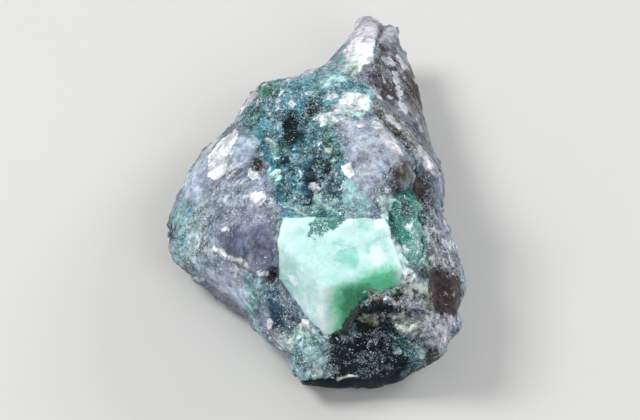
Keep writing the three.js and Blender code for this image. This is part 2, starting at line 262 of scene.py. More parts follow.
def store(mesh, name, values):
    """Writes one number for each vertex as an attribute."""
    attribute = mesh.attributes.get(name) or mesh.attributes.new(name, "FLOAT", "POINT")
    attribute.data.foreach_set("value", np.ascontiguousarray(values, dtype=np.float32))


def add_to(mesh, name, values):
    """Raises an attribute to at least these values."""
    before = np.empty(len(mesh.vertices), dtype=np.float32)
    mesh.attributes[name].data.foreach_get("value", before)
    store(mesh, name, np.maximum(before, values))


def shade_smooth(mesh):
    """Smooth shading on all faces."""
    mesh.polygons.foreach_set("use_smooth", np.ones(len(mesh.polygons), dtype=bool))


class Lattice:
    """Smooth noise between about -0.7 and 0.7, from slopes on a cubic lattice; the same on every run."""

    def __init__(self, seed):
        draw = np.random.RandomState(seed)
        self.shuffle = draw.permutation(256)
        slopes = draw.normal(size=(256, 3))
        self.slopes = slopes / np.linalg.norm(slopes, axis=1)[:, None]

    def __call__(self, points):
        cell = np.floor(points).astype(int)
        inside = points - cell
        ease = inside**3 * (inside * (inside * 6 - 15) + 10)
        total = np.zeros(len(points))
        for corner in np.ndindex(2, 2, 2):
            x, y, z = ((cell + corner) & 255).T
            slope = self.slopes[self.shuffle[(self.shuffle[(self.shuffle[x] + y) & 255] + z) & 255]]
            weight = np.prod(np.where(corner, ease, 1 - ease), axis=1)
            total += weight * np.sum(slope * (inside - corner), axis=1)
        return total

    def rough(self, points, size, octaves=4, gain=0.55):
        """Several sizes of this noise on top of each other."""
        return sum(gain**k * self(points * 2**k / size + 7.3 * k) for k in range(octaves))


def ease_between(low, high, values):
    """0 below low, 1 above high, and smooth between them."""
    t = np.clip((values - low) / (high - low), 0, 1)
    return t * t * (3 - 2 * t)


def drawn(points):
    """Millimetres across and up on the picture plane, as the eye sees these points."""
    offset = points - AIM
    scale = EYE_DISTANCE / (EYE_DISTANCE - offset @ TO_EYE)
    return np.stack([offset[:, 0] * scale, (offset @ SIGHT_UP) * scale], axis=1)


def depth_inside(spots, outline):
    """How far each spot lies inside a closed outline; negative outside."""
    corners = np.asarray(outline, dtype=float)
    nearest = np.full(len(spots), np.inf)
    inside = np.zeros(len(spots), dtype=bool)
    for a, b in zip(corners, np.roll(corners, -1, axis=0)):
        side = b - a
        along = np.clip(((spots - a) @ side) / (side @ side), 0, 1)
        nearest = np.minimum(nearest, np.hypot(*(spots - a - along[:, None] * side).T))
        if a[1] != b[1]:
            crosses = (a[1] > spots[:, 1]) != (b[1] > spots[:, 1])
            inside ^= crosses & (spots[:, 0] < a[0] + (spots[:, 1] - a[1]) * side[0] / side[1])
    return np.where(inside, nearest, -nearest)


def zone_mask(spots, zones):
    """The strongest of several zones at each spot. A zone is (strength, softness, outline)."""
    mask = np.zeros(len(spots))
    for strength, soft, outline in zones:
        corners = np.asarray(outline)
        low, high = corners.min(0) - soft, corners.max(0) + soft
        near = np.all((spots > low) & (spots < high), axis=1)
        cover = strength * ease_between(-soft, soft, depth_inside(spots[near], outline))
        mask[near] = np.maximum(mask[near], cover)
    return mask


def band(line, width):
    """The closed outline of a band of that width along a line."""
    points = np.asarray(line, dtype=float)
    along = np.gradient(points, axis=0)
    across = np.stack([-along[:, 1], along[:, 0]], axis=1)
    across *= 0.5 * width / np.linalg.norm(across, axis=1)[:, None]
    return np.concatenate([points + across, (points - across)[::-1]])


def in_pairs(tenths):
    """Corners in millimetres, from their places across and up in tenths of a millimetre."""
    return [(across / 10, up / 10) for across, up in zip(tenths[::2], tenths[1::2])]


def patch(strength, soft, *tenths):
    """A zone with a closed outline."""
    return strength, soft, in_pairs(tenths)


def streak(strength, soft, width, *tenths):
    """A zone along a line, this wide."""
    return strength, soft, band(in_pairs(tenths), width)


# Where each mineral shows

# On the side that the eye sees, from the aim: strength, softness in millimetres, for a streak its width,
# and then the corners, across and up in turn, in tenths of a millimetre
ZONES = {
    "milk": [
        patch(0.65, 0.4, -94, 80, -80, 83, -72, 76, -68, 64, -74, 55, -83, 48, -101, 44, -99, 64),
        patch(0.45, 0.8, -120, 32, -80, 42, -62, 36, -64, 2, -96, 4, -122, 12),
        patch(0.75, 0.6, -152, 32, -134, 62, -120, 66, -125, 36, -132, 10, -154, 4),
        patch(0.65, 0.8, -130, -64, -100, -54, -76, -70, -72, -88, -86, -110, -104, -98, -126, -82),
        patch(0.6, 0.9, 26, 100, 54, 104, 64, 94, 74, 72, 86, 58, 72, 24, 52, 22, 32, 46, 22, 70),
        # Pale on the horn's left face: partly white quartz, partly painted light on the side that faces the
        # light
        patch(0.7, 0.2, 36, 190, 58, 192, 59, 184, 46, 186, 36, 183),
        patch(0.6, 0.7, -136, -26, -118, -28, -114, -58, -134, -62),
        patch(0.3, 0.6, 64, 179, 84, 179, 98, 156, 94, 126, 80, 136, 68, 134, 64, 152),
        patch(0.8, 0.2, 78, 152, 86, 149, 90, 140, 88, 126, 84, 124, 82, 138, 77, 148),
        streak(0.3, 0.4, 0.8, 126, 66, 132, 48, 136, 26, 134, 2),
        patch(0.4, 0.4, 102, -72, 113, -76, 120, -90, 123, -112, 110, -114, 102, -102),
        streak(0.7, 0.3, 0.8, 153, -68, 160, -84, 156, -104, 152, -120),
    ],
    "lilac": [
        patch(0.9, 0.8, -116, -18, -90, -4, -66, -10, -50, -36, -50, -60, -66, -66, -92, -52, -116, -38),
        patch(0.7, 0.4, -63, 62, -56, 46, -50, 24, -50, 12, -64, 16, -66, 36),
        patch(0.3, 0.8, -124, 30, -112, 32, -102, 42, -82, 44, -64, 44, -64, 4, -96, 6, -120, 16),
        patch(0.45, 0.7, 28, 94, 60, 94, 74, 70, 82, 56, 74, 24, 46, 22, 32, 46),
        patch(0.6, 0.3, 122, 30, 130, 28, 130, -6, 122, -4),
        # Painted shade along the lower edge of the left lobe, where it turns away from the light
        streak(0.9, 0.5, 1.3, -134, -80, -116, -91, -102, -103, -89, -118),
        patch(0.5, 0.7, 124, -26, 148, -48, 154, -72, 136, -72, 120, -56),
    ],
    "sage": [
        patch(0.62, 0.8, -166, -8, -154, 16, -134, 6, -126, -16, -124, -52, -134, -74, -160, -62),
        patch(0.7, 0.5, -80, -74, -66, -76, -67, -100, -72, -124, -62, -136, -82, -116),
        patch(0.5, 0.3, -55, 112, -52, 120, -48, 120, -48, 111),
        patch(0.9, 0.8, -38, 14, -10, 22, 14, 24, 32, 18, 28, -16, -42, -18),
        patch(0.7, 0.3, -94, 93, -84, 98, -70, 92, -66, 74, -56, 79, -50, 64, -48, 42, -42, 12, -50, 14,
            -56, 34, -63, 58, -70, 78, -88, 88),
        patch(0.85, 0.3, 22, 26, 32, 36, 48, 18, 62, 2, 46, -16, 26, -16),
        patch(0.7, 0.35, -8, 156, 16, 169, 30, 186, 34, 174, 24, 158, 6, 154),
        streak(0.6, 0.3, 0.8, 30, 146, 46, 139, 56, 128, 60, 116),
        patch(0.5, 0.3, 124, -114, 140, -113, 142, -126, 126, -126),
        patch(0.8, 0.5, 104, -76, 120, -78, 120, -104, 106, -102),
        patch(0.6, 0.6, -28, -138, 6, -140, 14, -164, 10, -182, -24, -186),
        patch(0.6, 0.5, 114, -24, 130, -36, 128, -54, 114, -72, 106, -56),
    ],
    "sea": [
        patch(1.0, 0.35, -90, 97, -80, 112, -70, 126, -69, 135, -50, 144, -30, 142, -10, 150, 20, 157,
            38, 146, 56, 129, 46, 114, 22, 106, 17, 94, 16, 80, 24, 62, 32, 48, 24, 24, 28, -24, -42, -24,
            -43, 4, -48, 16, -51, 34, -58, 54, -65, 70, -74, 86),
        patch(0.65, 0.5, -159, -30, -148, -26, -140, -38, -142, -54, -158, -48),
        patch(0.4, 0.4, -160, 6, -144, 10, -134, 2, -140, -9, -160, -6),
        patch(0.45, 0.3, -162, -58, -130, -72, -128, -80, -152, -74),
        patch(0.9, 0.3, -29, -133, -10, -130, 8, -136, 17, -156, 17, -181, -22, -194, -36, -166),
        patch(0.9, 0.25, 80, -132, 92, -139, 104, -146, 114, -154, 112, -174, 86, -178, 80, -159),
        patch(0.7, 0.3, -67, -78, -52, -77, -54, -104, -66, -106),
    ],
    "steel": [
        patch(0.8, 0.35, -60, 114, -46, 119, -39, 106, -41, 90, -56, 90),
        patch(0.45, 0.8, -34, 140, 10, 142, 24, 124, -4, 124, -34, 122),
        patch(1.0, 0.25, -61, -86, -49, -73, -40, -82, -27, -100, -20, -116, -24, -128, -44, -136,
            -56, -120),
        patch(0.8, 0.3, -171, -8, -160, -8, -158, -30, -168, -38),
        patch(0.7, 0.4, -26, 62, 16, 64, 24, 20, 10, 6, -24, 6),
        patch(0.7, 0.4, -28, -136, 8, -138, 16, -164, 14, -180, -26, -188),
        patch(0.6, 0.3, 146, -126, 158, -124, 159, -136, 150, -144, 144, -138),
        patch(0.4, 0.8, 46, -140, 80, -136, 80, -172, 50, -178),
    ],
    "night": [
        patch(0.65, 0.6, -20, 111, -8, 118, 2, 118, 1, 108, -9, 104),
        # Painted shade in the carved hollow, over blue-black mineral
        patch(0.95, 0.7, -41, 100, -31, 104, -21, 99, -16, 88, -19, 76, -32, 71, -43, 76),
        patch(0.5, 0.8, -42, 104, -24, 114, -14, 98, -18, 80, -28, 72, -44, 74),
        patch(0.7, 0.5, -18, 56, -6, 62, 6, 59, 11, 54, 11, 46, 6, 40, 4, 26, -2, 6, -18, 2, -20, 22,
            -18, 42, -22, 50),
        patch(0.6, 0.3, -62, 134, -54, 138, -50, 130, -60, 126),
        patch(0.5, 0.3, -74, 110, -64, 114, -60, 102, -68, 94, -74, 98),
        patch(0.35, 0.4, -24, -139, -4, -139, -2, -152, -22, -154),
        patch(0.25, 0.4, -36, 140, -22, 143, -14, 134, -26, 129, -36, 132),
        patch(0.5, 0.4, -46, 58, -34, 62, -28, 46, -32, 26, -42, 24, -40, 42),
        patch(0.5, 0.3, 12, 44, 22, 40, 20, 24, 12, 26),
        # Partly dark green-black mineral, partly painted shade on the steep front below the crystal
        patch(0.9, 1.4, 10, -132, 26, -130, 36, -122, 44, -116, 78, -126, 84, -146, 84, -159, 98, -162,
            98, -174, 80, -196, 42, -200, 14, -186, 9, -156),
        patch(0.6, 0.6, 82, -134, 98, -142, 99, -166, 84, -174),
        patch(0.55, 0.4, 98, -64, 114, -62, 128, -68, 124, -78, 108, -78, 99, -72),
        # Painted shade in the hollow under the ledge
        patch(0.8, 0.35, 34, -112, 45, -105, 58, -98, 72, -103, 86, -107, 92, -111, 76, -113, 50, -118,
            30, -125),
        patch(0.6, 0.3, 100, 34, 110, 36, 114, 10, 106, -4, 100, 12),
        patch(0.9, 0.15, 84, -39, 88, -39, 89, -44, 85, -46),
        patch(0.7, 0.3, 118, -77, 130, -80, 133, -108, 125, -110),
        # Painted shade on the down-facing rim at the foot, over dark green mineral
        patch(1.1, 0.3, -20, -189, 4, -185, 40, -185, 86, -180, 84, -204, -24, -204),
        streak(0.3, 0.3, 0.4, -46, -56, -48, -66, -52, -73),
        # Painted shade along the grooves at the edge of the dome
        streak(0.9, 0.3, 0.35, 64, 104, 71, 96, 88, 83, 100, 66, 106, 50, 107, 34, 102, 23, 90, 19),
        patch(1.3, 0.9, 122, -74, 134, -70, 146, -76, 149, -96, 142, -114, 126, -106),
    ],
    "brown": [
        patch(0.7, 0.4, 58, 120, 66, 118, 84, 106, 102, 86, 109, 70, 96, 66, 86, 82, 70, 92),
        patch(0.7, 1.0, 75, 48, 90, 51, 100, 42, 96, 26, 82, 21, 71, 30),
        patch(0.5, 0.6, 88, 104, 102, 120, 114, 110, 129, 66, 133, 36, 122, 36, 108, 68),
        patch(0.5, 0.6, 106, 116, 120, 104, 128, 68, 120, 66, 112, 86),
        patch(0.66, 0.7, 59, 174, 66, 184, 86, 182, 92, 162, 104, 148, 110, 124, 106, 104, 90, 124, 82, 112,
            70, 118, 62, 132, 52, 138, 50, 150, 58, 154),
        patch(1.1, 0.5, 90, 152, 102, 154, 112, 130, 114, 112, 104, 108, 96, 120),
        patch(0.5, 0.4, 50, -115, 76, -113, 80, -123, 64, -126, 50, -122),
        patch(0.5, 0.4, 46, -102, 55, -90, 70, -98, 86, -94, 90, -104, 65, -102),
        patch(0.5, 0.5, 114, -98, 124, -98, 129, -116, 126, -128, 114, -124),
        patch(0.75, 0.3, 90, -188, 106, -172, 126, -170, 146, -164, 148, -180, 100, -200),
        patch(0.9, 0.2, 64, 182, 70, 182, 72, 175, 66, 172),
        patch(0.6, 0.3, 88, -106, 102, -106, 102, -114, 88, -114),
        patch(0.5, 0.35, 57, 170, 65, 172, 67, 152, 66, 132, 59, 138, 56, 152),
        patch(0.85, 0.4, 65, 140, 74, 138, 82, 136, 80, 120, 70, 119, 66, 126),
        patch(0.4, 1.0, 116, -10, 132, -20, 150, -50, 152, -70, 124, -72, 114, -40),
        patch(0.75, 0.6, 102, 32, 110, 40, 122, 30, 124, 12, 124, -16, 112, -12, 106, 2, 100, 6),
        patch(1.3, 1.1, 118, -69, 134, -64, 150, -68, 156, -90, 153, -110, 144, -122, 130, -113, 121, -110),
        patch(0.75, 0.3, 113, -154, 126, -152, 136, -159, 142, -166, 120, -174, 112, -162),
        streak(0.5, 0.3, 0.5, -60, -78, -52, -71, -48, -60),
        patch(0.85, 0.25, -79, 48, -70, 59, -63, 53, -63, 42, -72, 43),
        patch(0.35, 0.9, -96, -32, -68, -30, -58, -56, -74, -60, -94, -48),
        patch(0.4, 0.5, -120, 28, -106, 32, -104, 20, -118, 18),
        patch(0.8, 0.5, 48, -84, 72, -82, 86, -94, 76, -104, 50, -102),
    ],
    "olive": [
        patch(0.85, 0.25, 40, -106, 55, -82, 71, -92, 84, -81, 99, -73, 103, -90, 101, -99, 93, -104,
            71, -96, 53, -97),
        patch(0.6, 0.3, 38, -117, 55, -113, 84, -111, 86, -125, 66, -127, 46, -124),
        patch(0.5, 0.35, 58, 120, 66, 118, 84, 106, 102, 86, 109, 70, 106, 56, 96, 66, 86, 82, 70, 92,
            61, 106),
        patch(0.55, 0.3, 96, 58, 105, 52, 105, 36, 97, 29, 94, 44),
        patch(0.62, 0.9, 83, 50, 98, 56, 104, 42, 98, 26, 88, 25),
        patch(0.5, 0.25, 46, 164, 56, 162, 56, 150, 47, 152),
        patch(0.4, 0.6, 102, 106, 114, 94, 122, 66, 112, 68),
        patch(0.55, 0.7, 113, -26, 128, -34, 134, -58, 120, -72, 110, -60),
        patch(0.5, 0.6, 58, -84, 98, -82, 116, -92, 112, -110, 88, -104, 60, -98),
        patch(0.6, 0.6, 96, -72, 112, -72, 124, -88, 124, -110, 106, -108, 94, -90),
        patch(0.4, 0.4, 66, 202, 80, 202, 84, 190, 76, 183, 64, 188),
    ],
    "moss": [
        patch(0.85, 0.6, -74, 132, -64, 142, -44, 144, -42, 132, -52, 122, -69, 120),
        patch(0.65, 0.6, -86, 106, -72, 120, -66, 110, -70, 86, -80, 92),
        patch(0.6, 0.4, -20, 105, -12, 106, -2, 96, -10, 92),
        patch(0.6, 0.4, -52, 82, -40, 78, -38, 69, -50, 68),
        patch(0.8, 0.3, 2, 86, 12, 88, 18, 70, 28, 56, 26, 49, 12, 57, 4, 64),
        patch(0.5, 0.3, -46, 84, -38, 74, -30, 74, -38, 64, -50, 68),
        patch(1.0, 0.25, -29, -158, -16, -156, -18, -169, -26, -169),
        patch(1.0, 0.25, -12, -139, 2, -141, 3, -154, -9, -153),
        patch(0.5, 0.5, 86, -142, 108, -150, 106, -170, 88, -168),
        patch(0.7, 0.2, 103, -146, 118, -154, 113, -170, 104, -164, 99, -154),
        patch(0.1, 0.2, -18, -191, 4, -187, 34, -187, 34, -200, -18, -200),
        patch(0.5, 0.4, 112, -56, 126, -44, 130, -56, 116, -72),
        patch(0.5, 0.3, -14, -2, -4, 1, 22, 2, 30, -6, 26, -26, -12, -26),
        patch(0.6, 0.4, 54, -86, 86, -82, 102, -84, 92, -98, 64, -96),
    ],
    "reef": [
        patch(1.2, 0.3, 72, -5, 78, 2, 81, 10, 86, 21, 98, 22, 105, 12, 107, 1, 103, -10, 96, -15, 99, -35,
            93, -36, 84, -34, 78, -29, 73, -14),
        patch(0.35, 0.3, 97, -21, 106, -14, 115, -26, 116, -52, 108, -68, 95, -66, 95, -52, 99, -40),
    ],
    "cream": [
        patch(0.5, 0.2, -60, -132, -48, -135, -30, -129, -26, -140, -36, -158, -56, -146),
        patch(0.95, 0.12, -9, -170, 1, -171, 3, -182, -5, -186, -9, -182),
        streak(0.95, 0.12, 0.4, 20, -186, 32, -182, 43, -183),
        patch(0.5, 0.5, 100, -76, 116, -76, 122, -96, 108, -100),
        patch(0.95, 0.4, 85, -71, 102, -71, 103, -90, 92, -93, 85, -82),
        patch(0.9, 0.2, 82, -115, 106, -113, 112, -124, 108, -132, 99, -139, 89, -134, 81, -125),
        patch(0.8, 0.15, -61, 83, -54, 81, -48, 70, -54, 69, -60, 76),
        patch(0.7, 0.25, 28, 163, 46, 162, 48, 152, 38, 145, 26, 154),
        patch(0.6, 0.3, -14, 107, 0, 102, 18, 104, 20, 96, 4, 92, -6, 99),
        patch(0.8, 0.15, 5, 72, 13, 70, 13, 62, 5, 63),
    ],
    "mint": [
        patch(0.95, 0.7, 19, 114, 26, 128, 40, 133, 52, 128, 57, 114, 44, 100, 24, 106),
        patch(0.35, 0.6, 12, 58, 24, 56, 28, 36, 14, 34),
        patch(0.7, 0.7, -12, 0, 16, 0, 24, 18, -4, 20),
        patch(0.55, 0.6, 30, 6, 52, 6, 52, 24, 32, 24),
        patch(0.35, 0.5, -26, -149, 6, -147, 12, -164, 6, -182, -20, -184),
        patch(0.8, 0.15, -53, 41, -48, 46, -42, 42, -44, 32, -53, 32),
        patch(0.85, 0.25, 64, 12, 76, 18, 83, 12, 80, 0, 76, -10, 66, -9),
        patch(0.45, 0.6, -4, 136, 4, 152, 24, 162, 42, 156, 34, 142, 16, 134),
        patch(0.55, 0.4, -56, 74, -44, 74, -42, 50, -52, 48),
        patch(0.9, 0.3, 76, -34, 90, -36, 98, -46, 94, -58, 100, -68, 98, -88, 88, -86),
        patch(0.8, 0.2, -33, -131, -22, -124, -8, -126, 6, -139, -20, -140, -27, -150, -33, -146),
        patch(0.6, 0.2, 80, -151, 88, -151, 91, -159, 81, -159),
        patch(0.5, 0.2, 103, -148, 117, -155, 113, -166, 104, -158),
        streak(0.7, 0.15, 0.3, -43, 3, -34, 4, -20, -3, -16, 3),
        streak(0.6, 0.15, 0.3, 115, -50, 111, -60, 106, -68),
    ],
    "pearl": [
        # Pale rim along the upper-left outline: partly chipped pale quartz, partly painted rim light
        streak(0.9, 0.25, 1.3, -140, 54, -118, 82, -97, 103, -84, 120, -72, 132),
        streak(0.85, 0.2, 0.5, -66, 139, -48, 147, -30, 147, -14, 154, 14, 164),
        # Pale on the horn's left face: partly white quartz, partly painted light on the side that faces the
        # light
        patch(0.8, 0.4, 38, 204, 48, 216, 64, 214, 63, 194, 59, 180, 58, 167, 44, 164, 26, 168, 32, 188),
        patch(0.6, 0.25, 62, 194, 66, 206, 80, 206, 88, 190, 76, 183, 63, 184),
        patch(0.3, 0.5, 66, 180, 84, 180, 102, 154, 94, 128, 80, 138, 68, 146),
        streak(0.8, 0.12, 0.4, -172, -22, -167, -51, -158, -67, -144, -76, -126, -78),
        streak(0.7, 0.12, 0.4, -171, -22, -168, 0, -161, 19, -151, 38, -140, 55),
        patch(1.1, 0.12, 69, 172, 70, 164, 74, 157, 80, 158, 83, 164, 77, 168, 73, 168),
        streak(1.0, 0.12, 0.45, 84, 170, 90, 163, 96, 154),
        patch(0.9, 0.15, 78, 152, 86, 152, 88, 142, 83, 138, 79, 144),
        streak(1.0, 0.1, 0.4, 84, 137, 87, 130, 90, 122),
        patch(0.2, 0.6, 96, 112, 110, 114, 128, 64, 122, 50, 108, 72),
        patch(0.85, 0.1, 59, 140, 63, 130, 69, 119, 63, 123, 58, 132),
        patch(1.0, 0.15, 86, 121, 94, 120, 98, 109, 93, 105, 87, 112),
        patch(0.9, 0.12, 69, 147, 73, 146, 73, 138, 69, 139),
        patch(0.9, 0.12, 75, 128, 79, 127, 79, 122, 75, 122),
        patch(0.8, 0.15, 105, 106, 109, 100, 112, 86, 108, 88),
        streak(0.85, 0.12, 0.6, 72, 104, 82, 97, 90, 91),
        patch(1.0, 0.15, 64, 97, 72, 88, 84, 78, 90, 66, 93, 60, 80, 65, 72, 72, 66, 82),
        patch(0.95, 0.2, 107, 76, 114, 68, 126, 49, 133, 38, 126, 35, 116, 46, 110, 58),
        streak(0.6, 0.3, 0.5, 90, 186, 98, 170, 106, 150, 111, 132),
        patch(0.6, 0.3, 108, -114, 142, -111, 148, -124, 144, -144, 136, -154, 120, -145, 102, -145,
            101, -138, 114, -126),
        patch(0.5, 0.25, 110, -10, 120, -14, 122, -26, 110, -22),
        streak(0.5, 0.2, 0.5, 135, -8, 144, -26, 152, -46),
        streak(0.75, 0.25, 0.55, 117, -17, 132, -27, 148, -46),
        streak(0.6, 0.2, 0.3, 112, -79, 119, -89, 123, -106),
        patch(0.45, 0.6, 122, -34, 144, -42, 148, -62, 126, -64),
        patch(0.4, 0.9, 28, 96, 62, 96, 74, 70, 70, 44, 54, 24, 36, 42, 26, 68),
        patch(0.65, 0.35, 54, 104, 64, 102, 72, 88, 62, 88),
        patch(0.8, 0.4, 98, -114, 114, -114, 116, -128, 102, -128),
        patch(0.8, 0.4, 110, -136, 126, -136, 128, -149, 112, -150),
    ],
    "frost": [
        # Partly a frosted white break, partly a painted highlight on the lobe facet that faces up towards
        # the light
        patch(1.0, 0.15, -124, 44, -123, 60, -110, 77, -93, 89, -89, 81, -96, 74, -99, 62, -109, 58,
            -101, 50, -105, 41, -113, 32, -122, 37),
        patch(1.0, 0.1, -81, 44, -74, 43, -67, 40, -66, 36, -72, 34, -79, 38),
        patch(1.0, 0.1, -81, 14, -78, 19, -71, 19, -69, 23, -63, 18, -59, 14, -64, 4, -70, 5),
        patch(0.7, 0.2, -49, 120, -46, 130, -42, 133, -41, 123, -45, 118),
        patch(0.7, 0.2, -13, 28, -3, 30, 1, 22, -8, 17),
        streak(0.75, 0.2, 0.3, -52, 132, -46, 116, -50, 106),
        streak(0.7, 0.2, 0.22, -64, 120, -56, 110, -52, 98, -44, 94),
        patch(0.7, 0.3, 4, 130, 16, 136, 20, 126, 10, 122),
        patch(0.65, 0.25, -16, 129, -6, 133, -2, 127, -12, 124),
        patch(0.4, 0.3, 12, 42, 22, 46, 24, 32, 16, 28),
        streak(0.7, 0.2, 0.3, -10, 50, -2, 42, 6, 38, 12, 30),
        streak(0.6, 0.15, 0.35, -19, 110, -10, 103, 6, 101, 24, 99),
        streak(0.6, 0.15, 0.25, -32, 58, -24, 46, -22, 30),
        streak(0.5, 0.15, 0.3, -10, 12, 4, 26, 16, 22, 26, 28),
        patch(1.0, 0.12, -36, 118, -30, 121, -27, 116, -30, 111, -35, 112),
        patch(0.9, 0.1, -71, 122, -68, 122, -66, 116, -69, 116),
        patch(1.0, 0.12, 24, 50, 32, 49, 39, 40, 34, 36, 27, 41),
        patch(1.0, 0.1, -98, -61, -92, -61, -89, -71, -94, -73),
        patch(0.9, 0.1, -72, -66, -58, -67, -59, -72, -69, -72),
        patch(1.0, 0.1, -60, -122, -54, -120, -50, -125, -53, -130, -58, -130),
        patch(1.0, 0.7, 20, 122, 36, 133, 52, 124, 48, 110, 30, 106, 16, 108),
        patch(0.6, 0.5, -2, 104, 16, 112, 22, 102, 6, 98),
        # Pale on the horn's left face: partly white quartz, partly painted light on the side that faces the
        # light
        patch(0.95, 0.5, 30, 179, 39, 190, 54, 192, 59, 182, 58, 164, 46, 159, 28, 165),
        patch(0.75, 0.3, 113, 64, 124, 49, 130, 40, 124, 39, 116, 49),
        patch(0.8, 0.12, 70, 25, 77, 26, 76, 19, 71, 19),
        patch(0.8, 0.2, -24, -123, -14, -119, -10, -127, -16, -133, -24, -132),
        streak(0.9, 0.12, 0.35, 71, -98, 81, -100, 89, -104),
        streak(0.7, 0.25, 0.6, -118, -43, -102, -50, -88, -56, -74, -65),
        patch(0.85, 0.12, -9, -169, 2, -170, 4, -180, -5, -183),
        patch(0.5, 0.5, -108, 62, -96, 62, -87, 50, -87, 39, -102, 36, -110, 42),
        patch(0.7, 0.5, 10, 104, 26, 106, 28, 94, 14, 92),
        patch(0.5, 0.3, -12, -127, 4, -130, 4, -138, -10, -137),
        patch(0.35, 0.6, -102, -60, -82, -62, -84, -72, -102, -72),
        patch(0.7, 0.3, 88, -64, 98, -68, 101, -78, 92, -79),
        patch(0.35, 0.9, -144, -24, -126, -20, -122, -44, -134, -66, -148, -50),
        patch(0.4, 0.6, 86, -94, 102, -82, 114, -86, 118, -102, 102, -104),
        patch(0.7, 0.12, -111, -20, -103, -18, -101, -24, -107, -26),
        streak(0.5, 0.15, 0.4, -15, 61, -8, 68, 2, 74),
        # Painted glints on the dark brown quartz
        patch(0.25, 0.4, 136, -95, 139, -88, 149, -87, 151, -94, 144, -99),
        patch(0.7, 0.12, 44, 22, 48, 21, 51, 16, 47, 16),
        patch(0.8, 0.15, 5, -134, 12, -136, 11, -143, 5, -142),
    ],
    "dust": [
        patch(0.6, 0.8, -90, 100, -68, 144, 16, 164, 58, 130, 30, 104, 18, 64, -44, 64),
        patch(0.8, 0.5, -42, 64, 24, 64, 30, -6, -42, -6),
        patch(1.2, 0.6, -6, 134, 4, 154, 26, 164, 46, 156, 36, 142, 16, 132),
        patch(0.9, 0.4, -24, 84, -6, 94, 4, 84, -4, 68, -20, 64),
        patch(0.9, 0.4, -16, -166, 8, -166, 8, -184, -12, -186),
        patch(0.85, 0.8, -160, 0, -130, 30, -108, 30, -64, 44, -48, 10, -46, -18, -90, -18, -120, -50,
            -156, -64),
        patch(0.5, 0.9, -130, -46, -90, -54, -64, -70, -70, -94, -110, -94, -134, -78),
        patch(0.95, 0.8, 20, 102, 64, 94, 88, 56, 76, 22, 56, 6, 32, 26),
        patch(0.8, 0.3, 59, 122, 84, 106, 104, 84, 110, 60, 104, 50, 92, 68, 62, 100),
        patch(0.5, 0.5, 56, 160, 86, 176, 106, 110, 80, 116),
        patch(0.55, 0.6, 104, 14, 128, 4, 150, -46, 152, -72, 120, -68, 108, -42),
        patch(1.3, 0.4, -32, -134, 8, -138, 18, -156, 18, -184, -22, -194, -36, -166),
        patch(0.9, 0.4, 14, -134, 78, -130, 84, -186, 42, -190, 16, -184),
        patch(0.5, 0.4, 84, -114, 146, -112, 148, -142, 118, -152, 102, -138, 86, -132),
        patch(0.35, 0.4, 82, -134, 100, -139, 116, -154, 112, -170, 82, -158),
        patch(0.8, 0.4, 38, -119, 84, -113, 86, -124, 66, -127, 46, -124),
        patch(0.6, 0.4, 116, -72, 148, -70, 152, -88, 130, -94, 120, -90),
        patch(0.5, 0.5, -18, 66, 8, 66, 12, 46, 4, 26, -18, 22),
        patch(0.6, 0.4, 50, -86, 100, -74, 122, -90, 110, -110, 50, -110),
        patch(0.75, 0.3, -64, -80, -46, -74, -20, -118, -28, -132, -62, -138),
        patch(0.35, 0.4, -60, -130, -28, -130, -36, -158, -56, -146),
        patch(0.25, 0.4, 130, -74, 150, -72, 150, -108, 138, -104),
        # More white grains here, as painted glints on the dark brown quartz
        patch(0.6, 0.5, 135, -95, 139, -87, 150, -86, 152, -95, 144, -100),
        patch(0.35, 0.3, 70, 16, 114, 16, 116, -70, 86, -74),
    ],
    "blocky": [
        patch(1.0, 0.6, -64, 96, -54, 126, -6, 128, 20, 90, 26, 50, 26, 4, -36, 4, -50, 50),
        patch(0.9, 0.5, 44, -96, 86, -84, 112, -88, 144, -118, 142, -148, 84, -174, 34, -170),
        patch(0.6, 0.5, 106, 22, 126, 14, 144, -60, 120, -68, 110, -12),
    ],
    "grainy": [
        patch(1.0, 0.3, -32, -138, 8, -140, 18, -156, 18, -182, -22, -192, -36, -166),
        patch(0.7, 0.5, 16, -134, 78, -132, 116, -154, 112, -170, 42, -188, 16, -182),
        patch(0.6, 0.4, -58, -132, -30, -132, -36, -154, -52, -146),
        patch(0.4, 0.8, -80, 110, -40, 140, 20, 152, 50, 126, 16, 90, -50, 80),
    ],
    "smooth": [
        patch(0.9, 0.4, -22, -188, 40, -186, 86, -182, 84, -204, -24, -204),
        patch(0.9, 0.8, 20, 94, 54, 100, 88, 72, 106, 50, 100, 26, 66, 16, 32, 28, 22, 64),
        patch(0.8, 0.8, -114, -10, -52, 4, -44, -14, -46, -54, -64, -66, -114, -44),
        patch(0.7, 0.5, -140, 54, -100, 94, -72, 84, -66, 60, -94, 44, -132, 10, -166, -20, -164, 16),
        patch(0.8, 0.6, -6, 164, 34, 208, 60, 220, 92, 196, 114, 130, 144, 40, 136, -10, 126, 30, 94, 80,
            60, 120, 46, 154),
        patch(0.8, 0.5, 119, -74, 148, -74, 166, -80, 156, -120, 126, -112),
        patch(0.8, 0.4, 102, -74, 120, -80, 122, -108, 104, -108),
        patch(0.6, 0.5, 108, -112, 144, -110, 148, -140, 136, -152, 116, -136),
        patch(0.8, 0.4, 113, -148, 126, -146, 142, -166, 120, -174),
        patch(0.7, 0.5, -64, -80, -46, -74, -20, -118, -28, -130, -62, -126),
        patch(0.7, 0.8, -134, -60, -80, -70, -80, -120, -104, -104, -140, -80),
    ],
}

